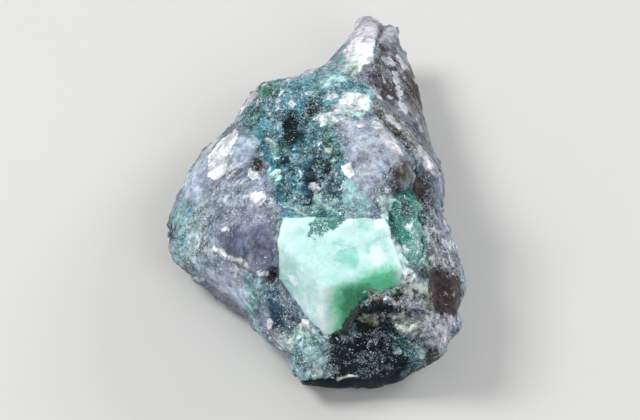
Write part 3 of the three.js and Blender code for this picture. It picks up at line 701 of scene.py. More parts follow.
# Grooves and low ridges, of which the strength is the depth or the height in millimetres
CARVED = [
    streak(0.55, 0.35, 0.7, 60, 126, 65, 108, 77, 95, 93, 79, 103, 62),
    streak(0.6, 0.4, 0.5, 104, 50, 107, 36, 101, 22, 89, 19, 76, 14),
    patch(0.5, 0.3, -42, 99, -32, 109, -18, 106, -16, 96, -26, 78, -42, 72, -44, 86),
    streak(0.3, 0.4, 0.6, 56, 150, 64, 134, 68, 120),
    patch(0.55, 0.25, 65, 202, 68, 216, 74, 212, 73, 202, 69, 196),
    streak(0.35, 0.25, 0.4, 70, 206, 68, 196, 63, 185, 60, 172),
    patch(0.3, 0.8, 10, 158, 24, 178, 32, 186, 34, 174, 22, 158),
]
RAISED = [
    patch(0.35, 0.5, 35, 204, 40, 214, 49, 215, 48, 204, 40, 199),
    patch(0.35, 0.3, 75, 199, 77, 210, 84, 208, 89, 196, 80, 192),
    streak(0.25, 0.25, 0.4, -118, -44, -102, -51, -88, -56, -74, -65, -62, -69),
    streak(0.2, 0.2, 0.4, 64, 96, 76, 76, 92, 61),
    streak(0.25, 0.3, 0.6, 109, 72, 120, 54, 130, 38),
    patch(0.2, 0.1, -81, 14, -71, 19, -69, 23, -59, 14, -64, 4, -70, 5),
    patch(0.2, 0.1, -81, 44, -74, 43, -67, 40, -66, 36, -72, 34, -79, 38),
]

# On the hidden sides each mineral follows slow noise: (seed, size in millimetres, threshold, strength)
HIDDEN = {
    "milk": (11, 9.0, 0.12, 0.7),
    "lilac": (12, 12.0, -0.05, 0.7),
    "sage": (27, 8.0, 0.15, 0.6),
    "sea": (13, 11.0, 0.1, 0.9),
    "steel": (14, 6.0, 0.22, 0.6),
    "brown": (15, 9.0, 0.2, 0.8),
    "olive": (16, 7.0, 0.3, 0.6),
    "moss": (17, 6.0, 0.3, 0.7),
    "cream": (18, 5.0, 0.36, 0.6),
    "pearl": (28, 7.0, 0.22, 0.7),
    "frost": (19, 4.0, 0.4, 0.6),
    "night": (20, 8.0, 0.26, 0.7),
    "dust": (21, 7.0, -0.2, 0.7),
    "grainy": (22, 8.0, 0.0, 0.8),
    "smooth": (24, 9.0, 0.05, 0.7),
    "blocky": (25, 8.0, 0.1, 0.7),
    "mint": (26, 6.0, 0.34, 0.5),
}

# The same as for the lump, for the two crystals
CRYSTAL_ZONES = {
    "leaf": [
        patch(1.0, 1.1, 17, -85, 26, -83, 36, -78, 50, -71, 58, -65, 72, -61, 83, -65, 85, -79, 80, -90,
            54, -106, 46, -124, 30, -144, 15, -140, 16, -114),
    ],
    "deep": [
        patch(0.95, 0.8, 26, -86, 44, -83, 54, -86, 56, -98, 40, -116, 26, -122, 22, -104),
    ],
    "white": [
        streak(0.75, 0.6, 1.1, 2, -84, 2, -106, 1, -124, 3, -144),
        patch(0.2, 0.9, -38, -12, -14, -12, -12, -28, -20, -42, -40, -48),
        patch(0.95, 0.1, -33, -70, -29, -70, -23, -81, -26, -87, -29, -85, -33, -76),
        streak(0.9, 0.12, 0.28, -18, -92, -14, -102, -10, -114),
        streak(0.8, 0.12, 0.22, -27, -94, -21, -108, -17, -120),
        patch(0.8, 0.4, 56, -40, 68, -36, 74, -56, 60, -62, 54, -52),
        streak(0.7, 0.25, 0.5, -41, -10, -43, -24, -46, -34, -43, -60),
        patch(0.9, 0.25, 58, -7, 72, -7, 74, -19, 60, -22),
        streak(0.7, 0.25, 0.5, 74, -20, 83, -44, 89, -62),
        streak(0.5, 0.08, 0.12, 9, -50, 26, -44, 46, -37, 60, -32),
        patch(0.6, 0.3, 24, -6, 38, -4, 36, -18, 22, -22),
    ],
    "sky": [
        patch(0.9, 0.8, -50, -48, -10, -74, -4, -90, -4, -142, -24, -134, -50, -70),
    ],
    "cloud": [
        patch(0.6, 0.25, 20, -45, 41, -40, 43, -56, 38, -64, 16, -57),
        patch(0.6, 0.2, 50, -36, 58, -32, 55, -50, 50, -50),
        patch(0.5, 0.3, 43, -10, 55, -8, 52, -24, 41, -22),
        patch(0.4, 0.4, 8, -32, 24, -30, 26, -40, 14, -40),
        patch(0.5, 0.5, -44, -56, -26, -60, -20, -90, -32, -100, -46, -72),
    ],
    "matrix": [
        patch(1.1, 0.5, -15, -31, -10, -18, -3, -9, 2, 6, 34, 6, 29, -6, 23, -14, 16, -21, 2, -27),
        streak(0.8, 0.25, 0.4, -44, -7, -24, -5, -3, -3),
        streak(0.5, 0.2, 0.3, 34, -4, 50, -3, 66, -4),
    ],
    # Painted shade: the dark of the ledge hollow laid over the lower end of the green face
    "ledge_shade": [
        patch(1.0, 0.2, 52, -93, 44, -103, 33, -116, 23, -128, 14, -138, 13, -150, 34, -146, 52, -122,
            60, -102),
    ],
    "dust": [
        patch(0.9, 0.4, -18, -32, -10, 4, 34, 4, 34, -14, 12, -32),
        patch(0.4, 0.4, 52, -4, 76, -4, 92, -60, 74, -64, 54, -48),
        patch(0.3, 0.4, -48, -10, -34, -14, -36, -64, -10, -124, -22, -130, -48, -70),
    ],
}
BLADE_ZONES = {
    "deep": [
        patch(1.1, 0.4, 66, 26, 110, 26, 108, 0, 103, -10, 96, -15, 99, -36, 84, -35, 66, -14),
        patch(0.5, 0.3, 94, -50, 106, -48, 108, -66, 96, -66),
    ],
    "white": [
        patch(0.5, 0.6, 94, -14, 102, -11, 110, -14, 108, -26, 100, -29),
        patch(0.7, 0.25, 68, 11, 79, 11, 80, 3, 74, -5, 68, -6),
        streak(0.5, 0.2, 0.2, 102, -12, 106, -26, 107, -44, 105, -58),
        patch(0.9, 0.25, 80, -35, 92, -37, 98, -44, 94, -52, 95, -72, 86, -70),
    ],
    # A darker teal laid on the upper part of the blade
    "dark_patch": [
        patch(1.2, 0.6, 87, 13, 100, 12, 103, -4, 94, -12, 87, -4),
    ],
    "dust": [
        patch(0.33, 0.8, 70, 24, 118, 24, 118, -70, 80, -70),
    ],
}


# Node tools


class Tree:
    """Adds nodes to one node tree and joins them up."""

    def __init__(self, tree):
        self.tree = tree

    def add(self, kind, inputs=(), **settings):
        """A node with its settings, and its inputs given by name or number."""
        node = self.tree.nodes.new(kind)
        for key, value in settings.items():
            setattr(node, key, value)
        for key, value in dict(inputs).items():
            self.feed(node.inputs[key], value)
        return node

    def feed(self, socket, value):
        """Gives an input a value, or links it to an output."""
        if isinstance(value, bpy.types.NodeSocket):
            self.tree.links.new(value, socket)
        else:
            socket.default_value = value

    def math(self, operation, *values, clamp=False):
        """A number worked out from numbers."""
        return self.add("ShaderNodeMath", enumerate(values), operation=operation, use_clamp=clamp).outputs[0]

    def vector(self, operation, *values):
        """A vector worked out from vectors."""
        return self.add("ShaderNodeVectorMath", enumerate(values), operation=operation).outputs[0]

    def scaled(self, vector, by):
        """A vector made longer or shorter."""
        return self.add("ShaderNodeVectorMath", {0: vector, "Scale": by}, operation="SCALE").outputs[0]

    def dot(self, a, b):
        """How far one vector runs along another."""
        return self.add("ShaderNodeVectorMath", {0: a, 1: b}, operation="DOT_PRODUCT").outputs["Value"]

    def ramp(self, value, low, high, first=0.0, last=1.0):
        """A smooth step from one number to another."""
        values = {"Value": value, 1: low, 2: high, 3: first, 4: last}
        return self.add("ShaderNodeMapRange", values, interpolation_type="SMOOTHSTEP").outputs[0]

    def noise(self, vector, scale, detail=2.0, roughness=0.5, distortion=0.0):
        """Blender's noise at a place."""
        values = {"Vector": vector, "Scale": scale, "Detail": detail, "Roughness": roughness}
        return self.add("ShaderNodeTexNoise", {**values, "Distortion": distortion})

    def waves(self, vector, scale, detail=2.0, roughness=0.5, distortion=0.0):
        """The strength of that noise."""
        return self.noise(vector, scale, detail, roughness, distortion).outputs["Fac"]

    def cells(self, vector, scale, feature="F1"):
        """Blender's cells at a place."""
        return self.add("ShaderNodeTexVoronoi", {"Vector": vector, "Scale": scale}, feature=feature)

    def stretched(self, vector, along, share_of):
        """A place squeezed along a direction, so that a pattern on it runs out that way."""
        shift = self.math("MULTIPLY", self.dot(vector, along), share_of)
        return self.vector("SUBTRACT", vector, self.scaled(along, shift))

    def mix(self, factor, below, above, blend="MIX"):
        """One colour laid over another."""
        values = {0: factor, 6: below, 7: above}
        return self.add("ShaderNodeMix", values, data_type="RGBA", blend_type=blend).outputs[2]

    def times(self, paint, tone):
        """A colour made lighter or darker by another."""
        return self.mix(1.0, paint, tone, "MULTIPLY")

    def place(self):
        """The place in the object's own coordinates."""
        return self.add("ShaderNodeTexCoord").outputs["Object"]

    def named(self, name):
        """A vertex attribute, in a geometry tree."""
        node = self.add("GeometryNodeInputNamedAttribute", {"Name": name}, data_type="FLOAT")
        return node.outputs["Attribute"]

    def random_vector(self, low, high, seed):
        """A vector drawn anew for each point, in a geometry tree."""
        values = {0: low, 1: high, "Seed": seed}
        return self.add("FunctionNodeRandomValue", values, data_type="FLOAT_VECTOR").outputs[0]

    def finish(self, shape, given, out):
        """Ends a geometry tree: the shape gets the material that the tree was given."""
        values = {"Geometry": shape, "Material": given.outputs["Material"]}
        self.feed(out.inputs["Geometry"], self.add("GeometryNodeSetMaterial", values).outputs[0])
        self.tidy()

    def tidy(self):
        """Lays the nodes out in columns."""
        for i, node in enumerate(self.tree.nodes):
            node.location = (220 * (i // 8), -260 * (i % 8))


def new_group(name, kind, inputs, outputs):
    """An empty node group with named sockets: its tools, its input node and its output node."""
    group = bpy.data.node_groups.new(name, kind)
    for label, (socket, default) in inputs.items():
        made = group.interface.new_socket(name=label, in_out="INPUT", socket_type=socket)
        if default is not None:
            made.default_value = default
    for label, socket in outputs.items():
        group.interface.new_socket(name=label, in_out="OUTPUT", socket_type=socket)
    tree = Tree(group)
    return tree, tree.add("NodeGroupInput"), tree.add("NodeGroupOutput")


def run_nodes(obj, group, values):
    """Runs a Geometry Nodes tree on an object with these inputs, and keeps what it makes as its mesh."""
    modifier = obj.modifiers.new(group.name, "NODES")
    modifier.node_group = group
    for item in group.interface.items_tree:
        if item.item_type == "SOCKET" and item.in_out == "INPUT" and item.name in values:
            modifier[item.identifier] = values[item.name]
    return settle(obj)


FLOAT = "NodeSocketFloat"
GEOMETRY = "NodeSocketGeometry"

MIDDLE = (0.5, 0.5, 0.5)

# How fine each pattern is, in waves for each metre
CLOUDS = 380.0
BLOTCHES = 950.0
TINTS = 240.0
STREAKS = 800.0
DUST_PATCHES = 620.0
HAZE = 1100.0
UNEVEN = 1700.0
POLISH = 900.0
PITTING = 2600.0
FINE_RELIEF = 1400.0
BERYL_CLOUDS = 300.0
GROWTH_LINES = 1300.0
BERYL_POLISH = 700.0
BERYL_PITTING = 2200.0
CRUMB_TONES = 900.0
CRUMB_PITTING = 5000.0

COOL_TINT = (0.96, 1.02, 1.0, 1)
WARM_TINT = (1.03, 0.98, 1.02, 1)
# Colour of the painted shade laid into the hollows
HOLLOW_SHADE = (0.01, 0.016, 0.02, 1)
PALE_STREAKS = 0.42
DARK_STREAKS = 0.38

# Broken faces: size in metres, how far their tones differ, how far they lean
FACETS = ((0.0014, 0.36, 0.4), (0.00042, 0.4, 0.55))
# White grains, partly white powder and partly painted glints: size in metres, how many there are on clean
# quartz, how many more on dusty quartz
GRAINS = ((0.0001, 0.08, 0.36), (0.00016, 0.02, 0.2))
# Crushed mineral: size in metres, detail, how much there is on clean quartz, how much more on dusty quartz
PATCHES = ((0.0007, 5.0, 0.0, 0.75), (0.002, 7.0, -0.1, 0.8))

# Height of the finest relief in metres
FINE_HEIGHT = 0.00008
# The noise that shifts the zones: its size in millimetres and its seeds across and up
WARP_SIZE = 1.6
WARP_SEEDS = (1, 2)


# Materials


def crumb_group():
    """White crushed mineral: ragged patches and specks."""
    inputs = {"Size": (FLOAT, 0.001), "Amount": (FLOAT, 0.5), "Detail": (FLOAT, 2.0)}
    tree, given, out = new_group("crushed_mineral", "ShaderNodeTree", inputs, {"Mask": FLOAT})
    scale = tree.math("DIVIDE", 1.0, given.outputs["Size"])
    ragged = tree.waves(tree.place(), scale, given.outputs["Detail"], 0.62)
    # The noise seldom passes the bare level, and the amount lowers that level
    bare, lowered, softness = 0.7, 0.15, 0.06
    level = tree.math("MULTIPLY_ADD", given.outputs["Amount"], -lowered, bare)
    tree.feed(out.inputs["Mask"], tree.ramp(ragged, level, tree.math("ADD", level, softness)))
    tree.tidy()
    return tree.tree


def salt_group():
    """Single white grains, few of them bright: partly white powder, partly painted glints."""
    inputs = {"Size": (FLOAT, 0.0002), "Amount": (FLOAT, 0.2)}
    tree, given, out = new_group("white_grains", "ShaderNodeTree", inputs, {"Mask": FLOAT})
    cells = tree.cells(tree.place(), tree.math("DIVIDE", 1.0, given.outputs["Size"]))
    lots = tree.add("ShaderNodeSeparateColor", {0: cells.outputs["Color"]})
    chosen = tree.math("LESS_THAN", lots.outputs[0], given.outputs["Amount"])
    dimmest, rarity = 0.15, 1.7
    bright = tree.math("MULTIPLY_ADD", tree.math("POWER", lots.outputs[1], rarity), 1 - dimmest, dimmest)
    tree.feed(out.inputs["Mask"], tree.math("MULTIPLY", chosen, bright))
    tree.tidy()
    return tree.tree


def facet_group():
    """Small broken faces. Each has its own tone and lean, and a film lies along the edges between them."""
    inputs = {"Size": (FLOAT, 0.001), "Lean": (FLOAT, 0.3), "Normal": ("NodeSocketVector", None)}
    outputs = {"Tone": FLOAT, "Edge": FLOAT, "Normal": "NodeSocketVector"}
    tree, given, out = new_group("broken_facets", "ShaderNodeTree", inputs, outputs)
    place = tree.place()
    scale = tree.math("DIVIDE", 1.0, given.outputs["Size"])
    warp = tree.vector("SUBTRACT", tree.noise(place, scale, 2.0).outputs["Color"], MIDDLE)
    bent = tree.vector("ADD", place, tree.scaled(warp, given.outputs["Size"]))
    colour_of = tree.cells(bent, scale).outputs["Color"]
    tree.feed(out.inputs["Tone"], tree.add("ShaderNodeSeparateColor", {0: colour_of}).outputs[0])
    border = tree.cells(bent, scale, "DISTANCE_TO_EDGE").outputs["Distance"]
    film_width = 0.09
    tree.feed(out.inputs["Edge"], tree.ramp(border, film_width, 0.0))
    lean = tree.scaled(tree.vector("SUBTRACT", colour_of, MIDDLE), given.outputs["Lean"])
    leaning = tree.vector("NORMALIZE", tree.vector("ADD", given.outputs["Normal"], lean))
    tree.feed(out.inputs["Normal"], leaning)
    tree.tidy()
    return tree.tree


def border_group():
    """Breaks the soft border of a zone into grains."""
    inputs = {"Zone": (FLOAT, 0.0), "Size": (FLOAT, 0.0006), "Shift": (FLOAT, 0.0), "Wander": (FLOAT, 2.8)}
    tree, given, out = new_group("grainy_border", "ShaderNodeTree", inputs, {"Mask": FLOAT})
    shift = tree.add("ShaderNodeCombineXYZ", {0: given.outputs["Shift"]}).outputs[0]
    moved = tree.vector("ADD", tree.place(), shift)
    fine = tree.waves(moved, tree.math("DIVIDE", 1.0, given.outputs["Size"]), 5.0, 0.66)
    wander = tree.math("MULTIPLY", tree.math("SUBTRACT", fine, 0.5), given.outputs["Wander"])
    mask = tree.ramp(tree.math("ADD", given.outputs["Zone"], wander), 0.25, 0.75)
    within = tree.ramp(given.outputs["Zone"], 0.02, 0.25)
    tree.feed(out.inputs["Mask"], tree.math("MULTIPLY", mask, within))
    tree.tidy()
    return tree.tree


def shared_group(name):
    """One of the shader groups, built when it is first asked for and then shared."""
    makers = {
        "crushed_mineral": crumb_group,
        "white_grains": salt_group,
        "broken_facets": facet_group,
        "grainy_border": border_group,
    }
    return bpy.data.node_groups.get(name) or makers[name]()


def new_material(name):
    """An empty material: its tools, its main shader and the material itself."""
    material = bpy.data.materials.new(name)
    material.use_nodes = True
    tree = Tree(material.node_tree)
    shader = material.node_tree.nodes["Principled BSDF"]
    return tree, shader, material


def attribute(tree, name):
    """A vertex attribute of the piece as a number."""
    return tree.add("ShaderNodeAttribute", attribute_name=name).outputs["Fac"]


def use_group(tree, name, **values):
    """A shared group with its inputs set."""
    node = tree.add("ShaderNodeGroup", node_tree=shared_group(name))
    for key, value in values.items():
        tree.feed(node.inputs[key], value)
    return node


def rgba(value):
    """A colour setting with full cover."""
    return (*value, 1.0)


def bump(tree, height, distance, below=None):
    """Fine relief from a height between 0 and 1."""
    node = tree.add("ShaderNodeBump", {"Height": height, "Strength": 1.0, "Distance": distance})
    if below is not None:
        tree.feed(node.inputs["Normal"], below)
    return node.outputs[0]


def grey(tree, value):
    """A number as a grey."""
    return tree.add("ShaderNodeCombineColor", {0: value, 1: value, 2: value}).outputs[0]


def translucent(shader, index, shine, scatter, tint, depth):
    """Sets a shader's glassiness and how light spreads inside: its weight, its colours and its depth."""
    shader.inputs["IOR"].default_value = index
    shader.inputs["Specular IOR Level"].default_value = shine
    shader.inputs["Subsurface Weight"].default_value = scatter
    shader.inputs["Subsurface Radius"].default_value = tint
    shader.inputs["Subsurface Scale"].default_value = depth


def mineral_paint(tree, look, even):
    """The minerals laid over each other, each in its own zones."""
    wander = tree.math("MULTIPLY_ADD", even, -1.4, 2.8)
    paint = rgba(look.smoke)
    for i, (name, _, _) in enumerate(MINERALS):
        zone = attribute(tree, name)
        grain = 0.0009 + 0.0003 * (i % 3)
        edge = use_group(tree, "grainy_border", Zone=zone, Size=grain, Shift=0.013 * i, Wander=wander)
        paint = tree.mix(edge.outputs[0], paint, rgba(getattr(look, name)))
    return paint


def cloudy_paint(tree, place, paint, look, even, night):
    """Clouds, blotches, a slow change of tint, and pale and dark streaks along the fibres."""
    cloudy = tree.ramp(tree.waves(place, CLOUDS, 6.0, 0.62, 0.5), 0.34, 0.66, 0.62, 1.32)
    paint = tree.times(paint, grey(tree, cloudy))
    blotchy = tree.ramp(tree.waves(place, BLOTCHES, 3.0, 0.6), 0.38, 0.62, 0.55, 1.35)
    blotched = tree.times(paint, grey(tree, blotchy))
    paint = tree.mix(attribute(tree, "blocky"), paint, blotched)
    tinted = tree.ramp(tree.waves(place, TINTS, 4.0, 0.6), 0.4, 0.6)
    paint = tree.times(paint, tree.mix(tinted, COOL_TINT, WARM_TINT))
    streaks = tree.waves(tree.stretched(place, FIBRES, 0.6), STREAKS, 5.0, 0.62, 0.3)
    clear = tree.math("MULTIPLY", even, tree.math("SUBTRACT", 1.0, night, clamp=True))
    pale = tree.math("MULTIPLY", clear, tree.ramp(streaks, 0.5, 0.66))
    paint = tree.mix(tree.math("MULTIPLY", pale, PALE_STREAKS), paint, rgba(look.pearl))
    dark = tree.math("MULTIPLY", even, tree.ramp(streaks, 0.48, 0.34))
    return tree.mix(tree.math("MULTIPLY", dark, DARK_STREAKS), paint, rgba(look.brown))


def faceted_paint(tree, paint, even, hollow):
    """Broken faces of two sizes, and painted shade in the hollows: the paint, the film on the edges and the
    normal.
    """
    rugged = tree.math("MULTIPLY_ADD", even, -0.75, 1.0)
    normal = tree.add("ShaderNodeNewGeometry").outputs["Normal"]
    films = []
    for size, tone, lean in FACETS:
        leaning = tree.math("MULTIPLY", rugged, lean)
        faces = use_group(tree, "broken_facets", Size=size, Lean=leaning, Normal=normal)
        normal = faces.outputs["Normal"]
        films.append(faces.outputs["Edge"])
        shade = grey(tree, tree.ramp(faces.outputs["Tone"], 0.0, 1.0, 1 - tone, 1 + tone))
        paint = tree.mix(rugged, paint, tree.times(paint, shade))
    # Painted shade: the hollows are darkened
    paint = tree.mix(tree.math("MULTIPLY", hollow, 0.5), paint, HOLLOW_SHADE)
    return paint, films[0], normal


def white_cover(tree, place, film, amount, night):
    """Where white shows: a film on edges, single grains of two sizes, partly painted glints, and patches of
    crushed mineral.
    """
    white = tree.math("MULTIPLY", film, tree.math("MULTIPLY", amount, 0.4, clamp=True))
    sugary = tree.math("MULTIPLY", attribute(tree, "grainy"), tree.math("MULTIPLY_ADD", night, -0.2, 0.27))
    for size, least, more in GRAINS:
        often = tree.math("MULTIPLY_ADD", amount, more, tree.math("ADD", sugary, least), clamp=True)
        found = use_group(tree, "white_grains", Size=size, Amount=often).outputs[0]
        white = tree.math("MAXIMUM", white, found)
    for size, detail, least, more in PATCHES:
        often = tree.math("MULTIPLY_ADD", amount, more, least)
        found = use_group(tree, "crushed_mineral", Size=size, Amount=often, Detail=detail).outputs[0]
        white = tree.math("MAXIMUM", white, found)
    return white


def quartz_material(look):
    """Broken quartz: glassy, with zones of other minerals, crushed white grains that are partly painted
    glints, and white edges that are partly bruised and partly a painted edge highlight.
    """
    tree, shader, material = new_material("broken_smoky_quartz")
    place = tree.place()
    dust, ridge, hollow = (attribute(tree, name) for name in ("dust", "ridge", "hollow"))
    even, night, sea = (attribute(tree, name) for name in ("smooth", "night", "sea"))
    paint = mineral_paint(tree, look, even)
    paint = cloudy_paint(tree, place, paint, look, even, night)
    paint, film, normal = faceted_paint(tree, paint, even, hollow)

    patchy = tree.ramp(tree.waves(place, DUST_PATCHES, 4.0, 0.6), 0.4, 0.6, 0.15, 1.0)
    # The ridges add white: partly bruised edges, partly painted edge highlight
    amount = tree.math("MULTIPLY_ADD", ridge, 0.3, tree.math("MULTIPLY", dust, patchy))
    less = tree.math("MULTIPLY_ADD", even, -0.3, tree.math("MULTIPLY", night, -0.75))
    less = tree.math("MULTIPLY_ADD", attribute(tree, "reef"), -0.5, less)
    amount = tree.math("ADD", amount, less)
    haze = tree.ramp(tree.waves(place, HAZE, 6.0, 0.65), 0.42, 0.64, 0.0, 0.5)
    veil = tree.mix(sea, rgba(look.milk), rgba(look.sage))
    paint = tree.mix(tree.math("MULTIPLY", amount, haze, clamp=True), paint, veil)
    white = white_cover(tree, place, film, amount, night)
    uneven = tree.ramp(tree.waves(place, UNEVEN, 2.0), 0.4, 0.6, 0.6, 1.0)
    # The white grains, partly white powder and partly painted glints
    speck = tree.mix(tree.math("MAXIMUM", sea, night), rgba(look.powder), rgba(look.spark))
    paint = tree.mix(tree.math("MULTIPLY", white, uneven), paint, speck)
    tree.feed(shader.inputs["Base Color"], paint)

    gloss = tree.ramp(tree.waves(place, POLISH, 4.0, 0.6), 0.35, 0.65, 0.2, 0.45)
    gloss = tree.math("ADD", gloss, tree.math("MULTIPLY", white, 0.35), clamp=True)
    tree.feed(shader.inputs["Roughness"], gloss)
    normal = bump(tree, tree.waves(place, PITTING, 5.0, 0.7), 0.00005, normal)
    normal = bump(tree, white, 0.00004, normal)
    tree.feed(shader.inputs["Normal"], normal)
    translucent(shader, index=1.55, shine=0.12, scatter=0.1, tint=(0.8, 1.0, 1.1), depth=0.0008)
    tree.tidy()
    return material


def beryl_material(look, name, below, layers, powdered, milky, scatter):
    """Waxy beryl with growth lines, clouds, bruises and a painted highlight on the edges. A layer is
    (attribute, colour, whether grainy).
    """
    tree, shader, material = new_material(name)
    place = tree.place()
    clouds = tree.waves(place, BERYL_CLOUDS, 5.0, 0.6, 0.8)
    paint = tree.mix(tree.ramp(clouds, 0.5, 0.3, 0.0, 0.5 * milky), rgba(below), rgba(look.cloud))
    paint = tree.mix(tree.ramp(clouds, 0.5, 0.72, 0.0, 0.8 * milky), paint, rgba(look.white))
    lines = tree.waves(tree.stretched(place, GROWTH, 0.9), GROWTH_LINES, 4.0, 0.6)
    paint = tree.mix(tree.ramp(lines, 0.54, 0.72, 0.0, 0.5 * milky), paint, rgba(look.white))
    for i, (zone, tint, grainy) in enumerate(layers):
        spread = attribute(tree, zone)
        size = 0.0006 if grainy else 0.0016
        mask = use_group(tree, "grainy_border", Zone=spread, Size=size, Shift=0.017 * i).outputs[0]
        soft = tree.math("MULTIPLY_ADD", mask, 0.35, tree.math("MULTIPLY", spread, 0.65))
        paint = tree.mix(mask if grainy else soft, paint, rgba(tint))
    normal = tree.add("ShaderNodeNewGeometry").outputs["Normal"]
    faces = use_group(tree, "broken_facets", Size=0.0009, Lean=0.12, Normal=normal)
    paint = tree.times(paint, grey(tree, tree.ramp(faces.outputs["Tone"], 0.0, 1.0, 0.93, 1.04)))

    bruise = use_group(tree, "crushed_mineral", Size=0.0014, Amount=0.3, Detail=7.0).outputs[0]
    # White on the ridges is a painted edge highlight; the crushed patches are bruises
    white = tree.math("MAXIMUM", bruise, tree.math("MULTIPLY", attribute(tree, "ridge"), 0.25 * milky))
    often = tree.math("MULTIPLY_ADD", attribute(tree, "dust"), 0.22, powdered)
    for size, _, _ in GRAINS:
        speck = use_group(tree, "white_grains", Size=size, Amount=often).outputs[0]
        white = tree.math("MAXIMUM", white, speck)
    sugar = use_group(tree, "white_grains", Size=0.00011, Amount=0.5).outputs[0]
    white = tree.math("MAXIMUM", white, tree.math("MULTIPLY", sugar, 0.14))
    paint = tree.mix(tree.math("MULTIPLY", white, 0.75), paint, rgba(look.white))
    tree.feed(shader.inputs["Base Color"], paint)

    gloss = tree.ramp(tree.waves(place, BERYL_POLISH, 4.0, 0.6), 0.35, 0.65, 0.25, 0.48)
    tree.feed(shader.inputs["Roughness"], gloss)
    normal = bump(tree, lines, 0.00005, faces.outputs["Normal"])
    normal = bump(tree, tree.waves(place, BERYL_PITTING, 4.0, 0.6), 0.00005, normal)
    tree.feed(shader.inputs["Normal"], normal)
    translucent(shader, index=1.57, shine=0.3, scatter=scatter, tint=(0.6, 1.2, 0.95), depth=0.0016)
    tree.tidy()
    return material


def crumb_material(look):
    """White crushed quartz."""
    tree, shader, material = new_material("white_crushed_quartz")
    place = tree.place()
    tone = tree.waves(place, CRUMB_TONES, 3.0)
    paint = tree.mix(tree.ramp(tone, 0.4, 0.7), rgba(look.powder), rgba(look.milk))
    tree.feed(shader.inputs["Base Color"], paint)
    tree.feed(shader.inputs["Roughness"], tree.ramp(tone, 0.3, 0.7, 0.35, 0.6))
    tree.feed(shader.inputs["Normal"], bump(tree, tree.waves(place, CRUMB_PITTING, 3.0), 0.00003))
    tree.tidy()
    return material


# Geometry trees


def relief_group():
    """Broken relief: tilted chips of two sizes and sugary grains, each pushed along the surface normal."""
    sizes = ["Chip Size", "Chip Depth", "Splinter Size", "Splinter Depth"]
    sizes += ["Grain Size", "Grain Depth", "Foot Height"]
    inputs = {"Geometry": (GEOMETRY, None), **{label: (FLOAT, 0.001) for label in sizes}}
    inputs["Material"] = ("NodeSocketMaterial", None)
    tree, given, out = new_group("broken_relief", "GeometryNodeTree", inputs, {"Geometry": GEOMETRY})
    place = tree.add("GeometryNodeInputPosition").outputs[0]

    def chips(size, depth, shift):
        scale = tree.math("DIVIDE", 1.0, size)
        moved = tree.vector("ADD", place, (shift, shift, shift))
        warp = tree.vector("SUBTRACT", tree.noise(moved, scale, 1.0).outputs["Color"], MIDDLE)
        bent = tree.vector("ADD", moved, tree.scaled(warp, tree.math("MULTIPLY", size, 0.7)))
        cells = tree.cells(bent, scale)
        tilt = tree.vector("SUBTRACT", cells.outputs["Color"], MIDDLE)
        from_centre = tree.vector("SUBTRACT", bent, cells.outputs["Position"])
        slope = tree.math("DIVIDE", tree.dot(from_centre, tilt), size)
        level = tree.math("MULTIPLY", tree.dot(tilt, MIDDLE), 0.9)
        return tree.math("MULTIPLY", depth, tree.math("ADD", tree.math("MULTIPLY", slope, 2.0), level))

    blocky = tree.math("MULTIPLY_ADD", tree.named("blocky"), 1.2, 0.8)
    rugged = tree.math("MULTIPLY_ADD", tree.named("smooth"), -0.8, blocky)
    large = chips(given.outputs["Chip Size"], given.outputs["Chip Depth"], 0.031)
    small = chips(given.outputs["Splinter Size"], given.outputs["Splinter Depth"], 0.087)
    total = tree.math("MULTIPLY", tree.math("ADD", large, small), rugged)

    grain = tree.cells(place, tree.math("DIVIDE", 1.0, given.outputs["Grain Size"]))
    lump = tree.math("SUBTRACT", 0.4, grain.outputs["Distance"])
    lump = tree.math("MULTIPLY", lump, given.outputs["Grain Depth"])
    total = tree.math("ADD", total, tree.math("MULTIPLY", lump, tree.named("grainy")))

    fine = tree.math("SUBTRACT", tree.waves(place, FINE_RELIEF, 3.0, 0.6), 0.5)
    total = tree.math("ADD", total, tree.math("MULTIPLY", fine, FINE_HEIGHT))

    up = tree.add("ShaderNodeSeparateXYZ", {0: place}).outputs[2]
    total = tree.math("MULTIPLY", total, tree.ramp(up, 0.0001, given.outputs["Foot Height"]))
    offset = tree.scaled(tree.add("GeometryNodeInputNormal").outputs[0], total)
    moved = tree.add("GeometryNodeSetPosition", {"Geometry": given.outputs["Geometry"], "Offset": offset})
    tree.finish(moved.outputs[0], given, out)
    return tree.tree


